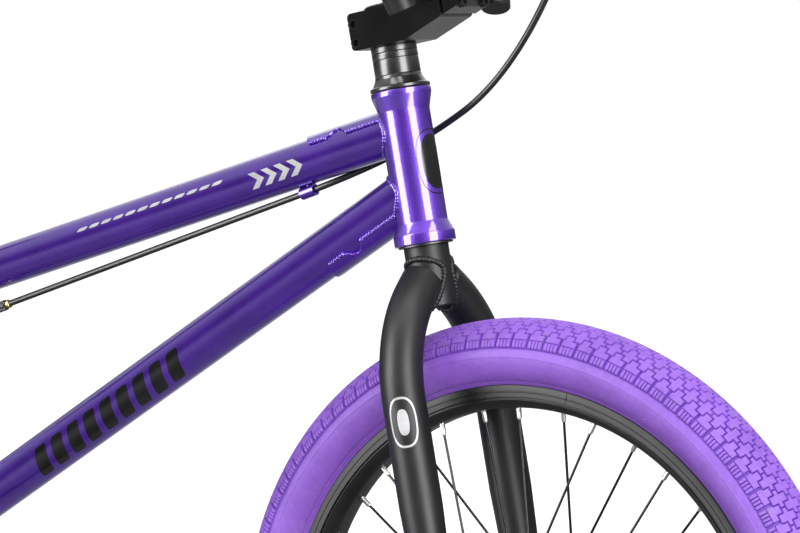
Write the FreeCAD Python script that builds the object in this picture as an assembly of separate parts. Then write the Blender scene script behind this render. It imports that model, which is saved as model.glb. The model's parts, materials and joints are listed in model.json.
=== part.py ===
"""A 20-inch BMX bicycle as an assembly of its separate pieces, in millimetres.

+X points forward, +Y to the rider's left, +Z up. The origin is on the ground
under the middle of the wheelbase. The drivetrain is on the right (-Y) side.
"""
import FreeCAD, Part
import math
import os

V = FreeCAD.Vector
Y = V(0, 1, 0)

# ---------------------------------------------------------------- driving sizes
WHEELBASE = 938.0
TYRE_RADIUS = 257.0
TYRE_WIDTH = 56.0
BEAD_RADIUS = 203.0
RIM_FLANGE_RADIUS = 209.3
RIM_WIDTH = 33.0
RIM_BED_RADIUS = 191.6
SPOKE_COUNT = 36
SPOKE_CROSS_ANGLE = 60.0
SPOKE_RADIUS = 1.0
NIPPLE_SEAT_RADIUS = 196.2
FIRST_SPOKE_ANGLE = 4.0

HEAD_ANGLE = 78.9
FORK_LENGTH = 320.0
FORK_RAKE = 35.25
HEAD_TUBE_LENGTH = 115.4
HEAD_TUBE_RADIUS = 19.3
HEAD_TUBE_END_RADIUS = 23.0
HEADSET_SEAT_RADIUS = 20.9
STEERER_RADIUS = 14.3
BOSS_RADIUS = 16.8
BOSS_LENGTH = 47.0
LEG_RADIUS = 16.0
LEG_OFFSET = 61.0

GUSSET_LENGTH = 90.0
TOP_TUBE_RADIUS = 16.7
TOP_TUBE_SLOPE = 16.87
TOP_TUBE_AT = 86.2
DOWN_TUBE_RADIUS = 18.4
DOWN_TUBE_AT = 41.5
SEAT_TUBE_RADIUS = 15.9
SEAT_TUBE_LENGTH = 245.0
SEAT_TUBE_ANGLE = 71.0
BB_HEIGHT = 296.0
BB_SHELL_RADIUS = 23.0
BB_SHELL_HALF = 34.0
CHAIN_STAY_LENGTH = 347.4
STAY_RADIUS = 8.0
TUBE_WALL = 1.6

REAR_HUB_HALF = 55.0
REAR_AXLE_RADIUS = 7.0
REAR_AXLE_HALF = 88.0
FRONT_HUB_HALF = 50.0
FRONT_AXLE_RADIUS = 4.75
FRONT_AXLE_HALF = 76.0

STEM_BOTTOM = 148.9
STEM_HEIGHT = 28.0
STEM_HALF_WIDTH = 21.5
STEM_REAR = -22.6
BAR_RADIUS = 11.1
BAR_CLAMP_FORWARD = 53.0
BAR_CLAMP_UP = 183.0
BAR_HALF_WIDTH = 360.0

CHAIN_PITCH = 12.7
CHAIN_LINE = -42.0
RING_TEETH = 28
DRIVER_TEETH = 10
RING_WRAP_LINKS = 14
DRIVER_WRAP_LINKS = 4
CHAIN_RUN_LINKS = 28
ROLLER_RADIUS = 3.88
SPROCKET_THICK = 2.6

CRANK_LENGTH = 170.0
CRANK_ANGLE = -25.0
SPINDLE_RADIUS = 9.5
PEDAL_AXLE_RADIUS = 5.0

POST_RADIUS = 12.7
CABLE_RADIUS = 2.5
BRAKE_PIVOT_AT = 178.0
BRAKE_PIVOT_SIDE = 41.0
BRAKE_PLANE = 22.0
BRAKE_WIRE_AT = 277.0
BRAKE_PAD_RADIUS = 203.5

RUNNING_GAP = 0.05


# ------------------------------------------------------------- shape helpers
def unit(vector):
    """A copy of the vector with length one."""
    return V(vector) * (1.0 / vector.Length)


def rod(start, end, radius):
    """A solid round bar between two points."""
    return Part.makeCylinder(radius, (end - start).Length, start, end - start)


def pipe(start, end, radius, wall=TUBE_WALL):
    """A straight round tube between two points."""
    return rod(start, end, radius).cut(rod(start, end, radius - wall))


def cone(start, end, start_radius, end_radius):
    """A solid taper between two points."""
    return Part.makeCone(start_radius, end_radius, (end - start).Length, start, end - start)


def lathe(profile, base=V(0, 0, 0), axis=V(0, 0, 1)):
    """A turned solid from (radius, distance along the axis) corners."""
    corners = [V(radius, 0, along) for radius, along in profile]
    face = Part.Face(Part.makePolygon(corners + [corners[0]]))
    solid = face.revolve(V(0, 0, 0), V(0, 0, 1), 360)
    solid.Placement = FreeCAD.Placement(base, FreeCAD.Rotation(V(0, 0, 1), axis))
    return solid


def ring(inner, outer, low, high, base=V(0, 0, 0), axis=V(0, 0, 1)):
    """A turned ring from one distance along the axis to another."""
    return lathe([(inner, low), (outer, low), (outer, high), (inner, high)], base, axis)


def prism(corners, low, high, axis=Y):
    """A flat plate: a closed outline in the XZ plane, from y = low to y = high."""
    points = [V(x, low, z) for x, z in corners]
    return Part.Face(Part.makePolygon(points + [points[0]])).extrude(axis * (high - low))


def box(low, high):
    """A block from its lowest to its highest corner."""
    size = high - low
    return Part.makeBox(size.x, size.y, size.z, low)


def turn_of(before, corner, after):
    """How far a route turns at a corner, in radians."""
    return (corner - before).getAngle(after - corner)


def widest_radii(corners):
    """Bend radii that use most of the room between the corners of a cable's route."""
    radii = []
    for before, corner, after in zip(corners, corners[1:], corners[2:]):
        run = min((corner - before).Length, (after - corner).Length)
        radii.append(0.45 * run / math.tan(turn_of(before, corner, after) / 2))
    return radii


def bent_path(corners, radii):
    """Straight runs joined by tangent arcs."""
    edges = []
    start = corners[0]
    for before, corner, after, radius in zip(corners, corners[1:], corners[2:], radii):
        back = unit(before - corner)
        ahead = unit(after - corner)
        half = back.getAngle(ahead) / 2
        trim = radius / math.tan(half)
        middle = corner + unit(back + ahead) * (radius / math.sin(half) - radius)
        edges.append(Part.LineSegment(start, corner + back * trim).toShape())
        edges.append(Part.Arc(corner + back * trim, middle, corner + ahead * trim).toShape())
        start = corner + ahead * trim
    edges.append(Part.LineSegment(start, corners[-1]).toShape())
    return Part.Wire(edges)


def bent_bar(corners, radii, radius):
    """A solid round bar along a bent path."""
    circle = Part.Wire(Part.makeCircle(radius, corners[0], corners[1] - corners[0]))
    return bent_path(corners, radii).makePipeShell([circle], True, False)


def mirrored(shape):
    """The same shape on the other side of the bicycle."""
    return shape.mirror(V(0, 0, 0), Y)


def both_sides(shape):
    """The shape and its mirror image."""
    return [shape, mirrored(shape)]


# ------------------------------------------------------------ key positions
lean = math.radians(HEAD_ANGLE)
head_up = V(-math.cos(lean), 0, math.sin(lean))
head_forward = V(math.sin(lean), 0, math.cos(lean))
front_axle = V(WHEELBASE / 2, 0, TYRE_RADIUS)
rear_axle = V(-WHEELBASE / 2, 0, TYRE_RADIUS)
head_bottom = front_axle + head_up * FORK_LENGTH - head_forward * FORK_RAKE
head_frame = FreeCAD.Placement(head_bottom, FreeCAD.Rotation(Y, HEAD_ANGLE - 90.0))

bb_back = math.sqrt(CHAIN_STAY_LENGTH ** 2 - (BB_HEIGHT - TYRE_RADIUS) ** 2)
bb = V(rear_axle.x + bb_back, 0, BB_HEIGHT)

top_tube_start = head_bottom + head_up * TOP_TUBE_AT
down_tube_start = head_bottom + head_up * DOWN_TUBE_AT
seat_lean = math.radians(SEAT_TUBE_ANGLE)
seat_up = V(-math.cos(seat_lean), 0, math.sin(seat_lean))
seat_top = bb + seat_up * SEAT_TUBE_LENGTH
slope = math.tan(math.radians(TOP_TUBE_SLOPE))
rise = top_tube_start.z - (top_tube_start.x - bb.x) * slope - bb.z
top_tube_end = bb + seat_up * (rise / (seat_up.z - seat_up.x * slope))

stay_top = bb + seat_up * 190.0
stay_angle = math.degrees(math.atan2(stay_top.z - rear_axle.z, stay_top.x - rear_axle.x))
stay_frame = FreeCAD.Placement(rear_axle, FreeCAD.Rotation(Y, -stay_angle))
stay_reach = (stay_top - rear_axle).Length

nodes = {}


def add(name, solids, frame=None):
    """Keep a piece, or a group of like pieces, under its name."""
    shapes = solids if isinstance(solids, list) else [solids]
    if frame is not None:
        shapes = [moved(shape, frame) for shape in shapes]
    nodes[name] = shapes[0] if len(shapes) == 1 else Part.makeCompound(shapes)


def moved(shape, frame):
    """The shape, carried from a local frame into the bicycle's frame."""
    copy = shape.copy()
    copy.Placement = frame.multiply(copy.Placement)
    return copy


# -------------------------------------------------------------------- frame
def head_tube_outline():
    return [(HEAD_TUBE_END_RADIUS, 0), (HEAD_TUBE_END_RADIUS, 7.5), (HEAD_TUBE_RADIUS, 16),
            (HEAD_TUBE_RADIUS, 100.4), (22.5, 111.4), (22.5, HEAD_TUBE_LENGTH)]


def make_head_tube():
    seat = HEADSET_SEAT_RADIUS
    bore = [(seat, HEAD_TUBE_LENGTH), (seat, 107.0), (17.0, 105.0), (17.0, 10.4), (seat, 8.4), (seat, 0)]
    return lathe(head_tube_outline() + bore)


def make_frame():
    head_solid = moved(lathe(head_tube_outline() + [(0, HEAD_TUBE_LENGTH), (0, 0)]), head_frame)
    seat_solid = rod(bb, seat_top, SEAT_TUBE_RADIUS)
    shell_solid = rod(bb - Y * BB_SHELL_HALF, bb + Y * BB_SHELL_HALF, BB_SHELL_RADIUS)
    down_solid = rod(down_tube_start, bb, DOWN_TUBE_RADIUS)
    top_solid = rod(top_tube_start, top_tube_end, TOP_TUBE_RADIUS)

    add("head_tube", make_head_tube(), head_frame)
    add("top_tube", pipe(top_tube_start, top_tube_end, TOP_TUBE_RADIUS).cut(head_solid).cut(seat_solid))
    add("down_tube", pipe(down_tube_start, bb, DOWN_TUBE_RADIUS).cut(head_solid).cut(shell_solid))

    seat_bore = rod(bb, seat_top, POST_RADIUS + RUNNING_GAP)
    slit = box(V(-40, -1.5, SEAT_TUBE_LENGTH - 32), V(0, 1.5, SEAT_TUBE_LENGTH + 1))
    slit.Placement = FreeCAD.Placement(bb, FreeCAD.Rotation(Y, SEAT_TUBE_ANGLE - 90.0))
    add("seat_tube", seat_solid.cut(seat_bore).cut(shell_solid).cut(down_solid).cut(slit))

    shell_bore = rod(bb - Y * 40, bb + Y * 40, 20.6)
    add("bottom_bracket_shell", shell_solid.cut(shell_bore))

    # The gussets are half sleeves over the top tube and under the down tube.
    gussets = [make_gusset(top_tube_start, top_tube_end, TOP_TUBE_RADIUS, 1, head_solid),
               make_gusset(down_tube_start, bb, DOWN_TUBE_RADIUS, -1, head_solid)]
    add("head_gussets", gussets)

    plate = make_rear_dropout()
    add("rear_dropouts", both_sides(plate))
    lower = make_chain_stay().cut(shell_solid).cut(plate)
    add("chain_stays", both_sides(lower))
    upper = make_seat_stay().cut(seat_solid).cut(top_solid).cut(plate).cut(lower)
    bridge = rod(V(285, -60, 0), V(285, 60, 0), 6.0)
    bridge = moved(bridge, stay_frame).common(moved(box(V(270, -34.5, -20), V(300, 34.5, 20)), stay_frame))
    bridge = bridge.cut(upper).cut(mirrored(upper))
    add("seat_stays", both_sides(upper) + [max(bridge.Solids, key=lambda solid: solid.Volume)])
    make_brake_studs()
    make_cable_guides(top_solid)
    make_frame_bearings()
    make_seat_clamp()


def make_gusset(start, end, radius, side, head_solid):
    """A half sleeve with its open edges on the tube's flanks, pointed at the rear."""
    length = GUSSET_LENGTH
    sheet = 2.0
    along = unit(end - start)
    up = Y.cross(along) * side
    tip = start + along * length
    sleeve = rod(start, tip, radius + sheet).cut(rod(start - along, tip + along, radius))
    slab = moved(box(V(-120, -40, 4), V(120, 40, 80)), FreeCAD.Placement(start, frame_rotation(along, up)))
    sleeve = sleeve.common(slab).cut(head_solid)
    for flank in (-36, 36):
        corner = tip + along * 8 + Y * flank
        sleeve = sleeve.cut(rod(corner - up * 60, corner + up * 60, 34.0))
    return max(sleeve.Solids, key=lambda solid: solid.Volume)


def frame_rotation(along, up):
    """The rotation that takes +X to along and +Z to up."""
    return FreeCAD.Rotation(along, up.cross(along), up, "XZY")


def make_rear_dropout():
    """The left plate, with a slot for the axle that is open to the rear."""
    low = REAR_HUB_HALF
    high = REAR_HUB_HALF + 5.0
    stay = stay_angle
    forward = math.degrees(math.atan2(bb.z - rear_axle.z, bb.x - rear_axle.x))
    plate = rod(rear_axle + Y * low, rear_axle + Y * high, 19.0)
    tail = box(V(-24, low, -12), V(0, high, 12))
    plate = plate.fuse(moved(tail, FreeCAD.Placement(rear_axle, FreeCAD.Rotation())))
    for angle, reach in ((stay, 46.0), (forward, 58.0)):
        arm = box(V(0, low, -8), V(reach, high, 8))
        plate = plate.fuse(moved(arm, FreeCAD.Placement(rear_axle, FreeCAD.Rotation(Y, -angle))))
    slot = box(V(-40, low - 1, -7.1), V(0, high + 1, 7.1))
    slot = slot.fuse(rod(V(0, low - 1, 0), V(0, high + 1, 0), 7.1))
    return plate.cut(moved(slot, FreeCAD.Placement(rear_axle, FreeCAD.Rotation()))).removeSplitter()


def make_chain_stay():
    """The left chain stay: past the sprocket and round the tyre to the dropout."""
    side = REAR_HUB_HALF + 2.5
    away = unit(bb - rear_axle)
    corners = [bb + Y * 21 - away * 8, bb - away * 62 + Y * 29, bb - away * 112 + Y * 43.5,
               rear_axle + away * 24 + Y * side]
    radii = [60.0, 70.0]
    outer = bent_bar(corners, radii, 9.0)
    inner = bent_bar(corners, radii, 7.5)
    return outer.cut(inner)


def seat_stay_corners():
    side = REAR_HUB_HALF + 2.5
    return [V(20, side, 0), V(264, 41, 0), V(stay_reach + 4, 6, 0)]


def make_seat_stay():
    """The left seat stay, in its own frame along the line from axle to seat tube."""
    outer = bent_bar(seat_stay_corners(), [70.0], STAY_RADIUS)
    inner = bent_bar(seat_stay_corners(), [70.0], STAY_RADIUS - 1.4)
    return moved(outer.cut(inner), stay_frame)


def make_brake_studs():
    base = V(BRAKE_PIVOT_AT, BRAKE_PIVOT_SIDE, 0)
    boss = moved(rod(base + V(0, 0, 1), base + V(0, 0, 11.5), 6.5), stay_frame)
    solid_stay = moved(bent_bar(seat_stay_corners(), [70.0], STAY_RADIUS), stay_frame)
    pin = moved(rod(base + V(0, 0, 11.5), base + V(0, 0, 33), 4.0), stay_frame)
    stud = boss.cut(solid_stay).fuse(pin)
    add("brake_studs", both_sides(max(stud.Solids, key=lambda solid: solid.Volume)))


def make_frame_bearings():
    """Two cartridge bearings for the headset and two for the crank spindle."""
    bearings = []
    for low in (1.0, 107.4):
        bearings.append(moved(ring(15.3, 20.85, low, low + 7.0), head_frame))
    for side in (-1, 1):
        bearings.append(ring(SPINDLE_RADIUS + RUNNING_GAP, 20.55, 25.0, 33.5, bb, Y * side))
    add("frame_bearings", bearings)


def make_seat_clamp():
    """A split collar round the top of the seat tube, and its pinch bolt."""
    place = FreeCAD.Placement(bb, FreeCAD.Rotation(Y, SEAT_TUBE_ANGLE - 90.0))
    low = SEAT_TUBE_LENGTH - 14.0
    inner = SEAT_TUBE_RADIUS + 0.02
    collar = ring(inner, 19.4, low, SEAT_TUBE_LENGTH + 1.5)
    lug = box(V(-27.5, -8, low), V(-17, 8, SEAT_TUBE_LENGTH + 1.5))
    collar = collar.fuse(lug).cut(rod(V(0, 0, low - 1), V(0, 0, low + 30), inner))
    collar = collar.cut(box(V(-40, -1.5, low - 1), V(0, 1.5, low + 30)))
    height = low + 7.7
    collar = collar.cut(rod(V(-22.5, -20, height), V(-22.5, 20, height), 2.6))
    bolt = rod(V(-22.5, -12, height), V(-22.5, 8.5, height), 2.5)
    bolt = bolt.fuse(rod(V(-22.5, -12.5, height), V(-22.5, -8.05, height), 4.4))
    socket = rod(V(-22.5, -13, height), V(-22.5, -10, height), 2.0)
    add("seat_clamp", [collar, bolt.cut(socket)], place)


# -------------------------------------------------- rear brake cable on the frame
def in_stay_frame(x, y, z):
    return stay_frame.multVec(V(x, y, z))


GUIDE_FRONT = V(267.0, 0, 599.6)
GUIDE_REAR = V(-110.0, 5.6, 484.4)
ADJUSTER_END = V(-28.6, 0, 500.2)
NOODLE_ENTRY_AT = 318.0
NOODLE_SIDE = 66.0


def frame_cable_corners():
    along = unit(ADJUSTER_END - GUIDE_FRONT)
    entry = in_stay_frame(NOODLE_ENTRY_AT, NOODLE_SIDE, BRAKE_PLANE)
    back_up = in_stay_frame(NOODLE_ENTRY_AT + 40, NOODLE_SIDE - 2, BRAKE_PLANE)
    bend = ADJUSTER_END + along * 34
    past_guide = bend + (GUIDE_REAR - bend) * 1.55
    return [GUIDE_FRONT - along * 6.6, bend, past_guide, V(-172, 38, 478), back_up, entry]


def loop_cable_corners():
    """From the brake lever, forward of the stem and past the left of the head tube."""
    along = unit(ADJUSTER_END - GUIDE_FRONT)
    start = head_frame.multVec(lever_point(-30.0, 30.0, 0))
    inward = head_frame.Rotation.multVec(bar_right_axis() * -1)
    return [start, start + inward * 45, V(412, -78, 948), V(460, -26, 914), V(487, 10, 856),
            V(482, 26, 790), V(449, 31, 727), V(407, 33, 676), V(362, 33, 647), V(322, 21, 624),
            GUIDE_FRONT - along * 22, GUIDE_FRONT - along * 6.7]


def make_frame_cable():
    corners = frame_cable_corners()
    radii = widest_radii(corners)
    print("frame cable bend radii:", [round(radius) for radius in radii])
    housing = bent_bar(corners, radii, CABLE_RADIUS)
    report_tube("frame cable", corners, radii, housing)
    along = unit(ADJUSTER_END - GUIDE_FRONT)
    barrel_start = ADJUSTER_END
    barrel_end = ADJUSTER_END + along * 26
    housing = housing.cut(rod(barrel_start, barrel_end, CABLE_RADIUS + 1))
    add("brake_cable", housing.Solids + make_noodle())
    make_adjuster(barrel_start, along)


def make_noodle():
    """The bent metal tube that turns the cable across the brake, and the bare wire beyond it."""
    bend = [V(BRAKE_WIRE_AT, 30, BRAKE_PLANE), V(BRAKE_WIRE_AT, NOODLE_SIDE - 0.5, BRAKE_PLANE),
            V(NOODLE_ENTRY_AT - 0.2, NOODLE_SIDE, BRAKE_PLANE)]
    noodle = bent_bar(bend, [16.0], 2.6)
    wire = rod(V(BRAKE_WIRE_AT, -48, BRAKE_PLANE), V(BRAKE_WIRE_AT, 29.9, BRAKE_PLANE), 0.8)
    return [moved(noodle, stay_frame), moved(wire, stay_frame)]


def make_adjuster(start, along):
    """An in-line barrel adjuster: ferrule, brass collar, knurled barrel and ferrule."""
    collar = lathe([(0, 0), (3.1, 0), (3.6, 0.8), (3.6, 2.6), (3.1, 3.2), (0, 3.2)], start, along)
    barrel = lathe([(0, 3.2), (3.6, 3.2), (4.3, 4.2), (4.3, 15.0), (3.4, 17.0), (3.4, 26), (0, 26)],
                   start, along)
    add("cable_adjuster", [collar, barrel])


def report_tube(name, corners, radii, tube):
    """Print the route's length and how the tube's volume compares with it."""
    length = bent_path(corners, radii).Length
    section = math.pi * CABLE_RADIUS ** 2
    print(name, "length", round(length, 1), "volume ratio", round(tube.Volume / (section * length), 4))


def make_cable_guides(top_solid):
    """Two short welded tubes under the top tube that hold the cable housing."""
    corners = frame_cable_corners()
    ahead = unit(corners[0] - corners[1])
    behind = unit(corners[1] - corners[2])
    guides = []
    for centre, along in ((GUIDE_FRONT, ahead), (GUIDE_REAR, behind)):
        outer = rod(centre - along * 6.5, centre + along * 6.5, 4.7)
        outer = outer.fuse(rod(centre, centre + V(0, -centre.y * 0.5, 9.0), 2.2))
        bore = rod(centre - along * 9, centre + along * 9, CABLE_RADIUS + 0.6)
        guides.append(outer.cut(top_solid).cut(bore))
    add("cable_guides", guides)


# ------------------------------------------------------------ fork and steering
def make_fork():
    boss_low = -BOSS_LENGTH
    body = lathe([(4, boss_low), (BOSS_RADIUS, boss_low), (BOSS_RADIUS, -1.4), (STEERER_RADIUS, -1.4),
                  (STEERER_RADIUS, STEM_BOTTOM + STEM_HEIGHT - 3), (11.6, STEM_BOTTOM + STEM_HEIGHT - 3),
                  (11.6, boss_low + 4), (4, boss_low + 4)])
    front_hole = rod(V(8, 0, -38), V(30, 0, -38), 2.6)
    add("fork_steerer", body.cut(front_hole), head_frame)

    boss_solid = rod(V(0, 0, boss_low - 1), V(0, 0, 0), BOSS_RADIUS)
    dropout = make_front_dropout()
    leg = make_fork_leg().cut(boss_solid).cut(dropout)
    leg = max(leg.Solids, key=lambda solid: solid.Volume)
    add("fork_legs", both_sides(leg), head_frame)
    add("fork_dropouts", both_sides(dropout), head_frame)


def make_fork_leg():
    """The left leg: out of the boss, round the shoulder and straight down, tapered."""
    corners = [V(0, 6, -18.7), V(0, LEG_OFFSET, -61.7), V(0, LEG_OFFSET, -190)]
    outer = bent_bar(corners, [98.0], LEG_RADIUS)
    inner = bent_bar(corners, [98.0], LEG_RADIUS - 2.2)
    end = V(0, LEG_OFFSET, -FORK_LENGTH + 22)
    lower = cone(corners[-1], end, LEG_RADIUS, 12.0)
    hollow = cone(corners[-1], end + V(0, 0, 4), LEG_RADIUS - 2.2, 9.8)
    return outer.cut(inner).fuse(lower.cut(hollow))


def make_front_dropout():
    """The left fork end: a plate that carries the axle ahead of the leg."""
    low = FRONT_HUB_HALF
    high = FRONT_HUB_HALF + 6.0
    axle_up = -FORK_LENGTH
    plate = rod(V(FORK_RAKE, low, axle_up), V(FORK_RAKE, high, axle_up), 16.0)
    plate = plate.fuse(prism([(-10, axle_up + 62), (-10, axle_up + 24), (FORK_RAKE - 12, axle_up - 11),
                              (FORK_RAKE + 15.5, axle_up + 4), (10, axle_up + 62)], low, high))
    slot = box(V(FORK_RAKE - 4.85, low - 1, axle_up - 30), V(FORK_RAKE + 4.85, high + 1, axle_up))
    slot = slot.fuse(rod(V(FORK_RAKE, low - 1, axle_up), V(FORK_RAKE, high + 1, axle_up), 4.85))
    return plate.cut(slot).removeSplitter()


def make_headset():
    inner = STEERER_RADIUS + RUNNING_GAP
    race = lathe([(inner, -1.4), (20.5, -1.4), (20.5, -0.4), (15.25, -0.4), (15.25, 7.5), (inner, 7.5)])
    wedge = ring(inner, 15.25, 108.0, HEAD_TUBE_LENGTH + 0.5)
    add("headset_races", [race, wedge], head_frame)
    low = HEAD_TUBE_LENGTH + 0.5
    cover = lathe([(inner, low), (22.1, low), (22.5, low + 0.5), (22.5, low + 2.4), (21.9, low + 3.0),
                   (20.6, low + 3.2), (17.8, low + 8.6), (17.3, low + 11.0), (inner, low + 11.0)])
    add("headset_cover", cover, head_frame)
    spacers = []
    level = low + 11.0
    for height in (12.0, 5.0, STEM_BOTTOM - level - 17.0):
        edge = 0.35
        top = level + height
        spacers.append(lathe([(inner, level), (17.2 - edge, level), (17.2, level + edge), (17.2, top - edge),
                              (17.2 - edge, top), (inner, top)]))
        level = top
    add("headset_spacers", spacers, head_frame)


def rounded(shape, radius, chosen):
    """Fillet the edges for which chosen(edge) is true."""
    return shape.makeFillet(radius, [edge for edge in shape.Edges if chosen(edge)])


def lies_across(edge):
    """True for a straight edge along Y."""
    first = edge.Vertexes[0].Point
    last = edge.Vertexes[-1].Point
    return abs(first.x - last.x) < 0.01 and abs(first.z - last.z) < 0.01


def make_stem():
    top = STEM_BOTTOM + STEM_HEIGHT
    half = STEM_HALF_WIDTH
    profile = [(STEM_REAR, STEM_BOTTOM), (24.3, STEM_BOTTOM), (59.5, 160.4), (59.5, 204.0), (46.0, 204.0),
               (32.0, 186.0), (19.5, top), (STEM_REAR, top)]
    body = rounded(prism(profile, -half, half), 3.5, lies_across)
    steerer_bore = rod(V(0, 0, 140), V(0, 0, 210), STEERER_RADIUS + 0.02)
    bar_bore = rod(V(BAR_CLAMP_FORWARD, -40, BAR_CLAMP_UP), V(BAR_CLAMP_FORWARD, 40, BAR_CLAMP_UP),
                   BAR_RADIUS + 0.02)
    slit = box(V(-40, -1.2, 140), V(0, 1.2, 190))
    body = body.cut(steerer_bore).cut(bar_bore).cut(slit)
    plate = prism([(62.0, 161.2), (72.5, 164.6), (77.5, 170.5), (77.5, 195.5), (71.0, 204.0), (62.0, 204.0)],
                  -half, half)
    plate = rounded(plate, 2.5, lambda edge: lies_across(edge) and edge.Vertexes[0].Point.x > 65)
    plate = plate.cut(bar_bore)

    bolts = []
    for up in (154.8, 168.6):
        start = V(-18.3, -half, up)
        body = body.cut(rod(start - Y, start + Y * 4.6, 4.9)).cut(rod(start, start + Y * 36, 2.6))
        bolts.append(socket_bolt(start + Y * 4.5, Y * -1, 4.6, 4.3, 2.5, 30.0))
    for side in (-14.5, 14.5):
        for up in (BAR_CLAMP_UP - 15.4, BAR_CLAMP_UP + 15.4):
            start = V(77.5, side, up)
            plate = plate.cut(rod(start + V(1, 0, 0), start - V(4.6, 0, 0), 4.7))
            plate = plate.cut(rod(start, start - V(40, 0, 0), 2.6))
            body = body.cut(rod(start, start - V(36, 0, 0), 2.6))
            bolts.append(socket_bolt(start - V(4.5, 0, 0), V(1, 0, 0), 4.4, 4.3, 2.5, 28.0))
    add("stem", body, head_frame)
    add("stem_faceplate", plate, head_frame)
    cap = lathe([(0, top), (16.6, top), (17.2, top + 0.6), (17.2, top + 2.2), (15.6, top + 3.2), (5.2, top + 3.2),
                 (5.2, top + 1.4), (0, top + 1.4)])
    cap_bolt = socket_bolt(V(0, 0, top + 1.4), V(0, 0, 1), 4.6, 3.4, 2.5, 0.0)
    add("stem_hardware", bolts + [cap, cap_bolt], head_frame)


def socket_bolt(seat, outward, head_radius, head_height, shank_radius, shank_length):
    """A socket-head bolt: its head stands on the seat point and faces outward."""
    bolt = rod(seat, seat + outward * head_height, head_radius)
    if shank_length > 0:
        bolt = bolt.fuse(rod(seat, seat - outward * shank_length, shank_radius))
    return bolt.cut(rod(seat + outward * 1.2, seat + outward * (head_height + 1), head_radius * 0.55))


# --------------------------------------------------------------- handlebar
def riser_corners():
    """The left riser, from its lower end to the grip end, in the steering frame."""
    return [V(54.6, 62.5, 166.0), V(31.8, 149.6, 395.0), V(-9.0, BAR_HALF_WIDTH, 402.0)]


def bar_right_axis():
    """The direction of the right grip, pointing outward."""
    knee = riser_corners()[1]
    tip = riser_corners()[2]
    along = unit(tip - knee)
    return V(along.x, -along.y, along.z)


def make_handlebar():
    corners = riser_corners()
    up = unit(corners[1] - corners[0])
    outer = bent_bar(corners, [75.0], BAR_RADIUS)
    inner = bent_bar([corners[0] + up * 3] + corners[1:], [75.0], BAR_RADIUS - 1.8)
    riser = outer.cut(inner)
    add("handlebar_risers", both_sides(riser), head_frame)
    clamp = rod(V(BAR_CLAMP_FORWARD, -70, BAR_CLAMP_UP), V(BAR_CLAMP_FORWARD, 70, BAR_CLAMP_UP), BAR_RADIUS)
    clamp = clamp.cut(outer).cut(mirrored(outer))
    add("handlebar_clamp_tube", max(clamp.Solids, key=lambda solid: solid.Volume), head_frame)
    reach = (283.0 - corners[0].z) / up.z
    joint = corners[0] + up * reach
    cross = rod(V(joint.x, -joint.y, joint.z), joint, 9.5).cut(outer).cut(mirrored(outer))
    add("handlebar_crossbar", max(cross.Solids, key=lambda solid: solid.Volume), head_frame)

    along = unit(corners[2] - corners[1])
    tip = corners[2]
    inner_radius = BAR_RADIUS + 0.02
    profile = [(inner_radius, -138), (19.0, -138), (19.0, -134.5), (15.2, -133)]
    for groove in range(21):
        start = -130.0 + groove * 5.8
        profile += [(15.2, start), (14.2, start + 0.8), (14.2, start + 1.8), (15.2, start + 2.6)]
    profile += [(15.2, -0.05), (inner_radius, -0.05)]
    grip = lathe(profile, tip, along)
    plug = lathe([(0, -22), (8.6, -22), (9.25, -16), (9.25, 0.05), (14.6, 0.05), (15.2, 0.8), (15.2, 2.8),
                  (13.0, 4.4), (0, 4.4)], tip, along)
    add("grips", both_sides(grip), head_frame)
    add("bar_end_plugs", both_sides(plug), head_frame)


# -------------------------------------------------------------- brake lever
LEVER_TILT = 28.0
LEVER_PIVOT_OUT = 6.0
LEVER_PIVOT_AHEAD = 33.0


def lever_axes():
    """Outward along the bar, ahead of it (tilted down), and across both."""
    out = bar_right_axis()
    tilt = math.radians(LEVER_TILT)
    ahead = V(math.cos(tilt), 0, -math.sin(tilt))
    ahead = unit(ahead - out * ahead.dot(out))
    return out, ahead, out.cross(ahead)


def lever_point(out_by, ahead_by, across_by):
    """A point in the steering frame, measured from the lever clamp's centre."""
    out, ahead, across = lever_axes()
    tip = riser_corners()[2]
    centre = V(tip.x, -tip.y, tip.z) - out * 158.0
    return centre + out * out_by + ahead * ahead_by + across * across_by


def lever_frame():
    out, ahead, across = lever_axes()
    return head_frame.multiply(FreeCAD.Placement(lever_point(0, 0, 0), FreeCAD.Rotation(out, ahead, across, "XYZ")))


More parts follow.
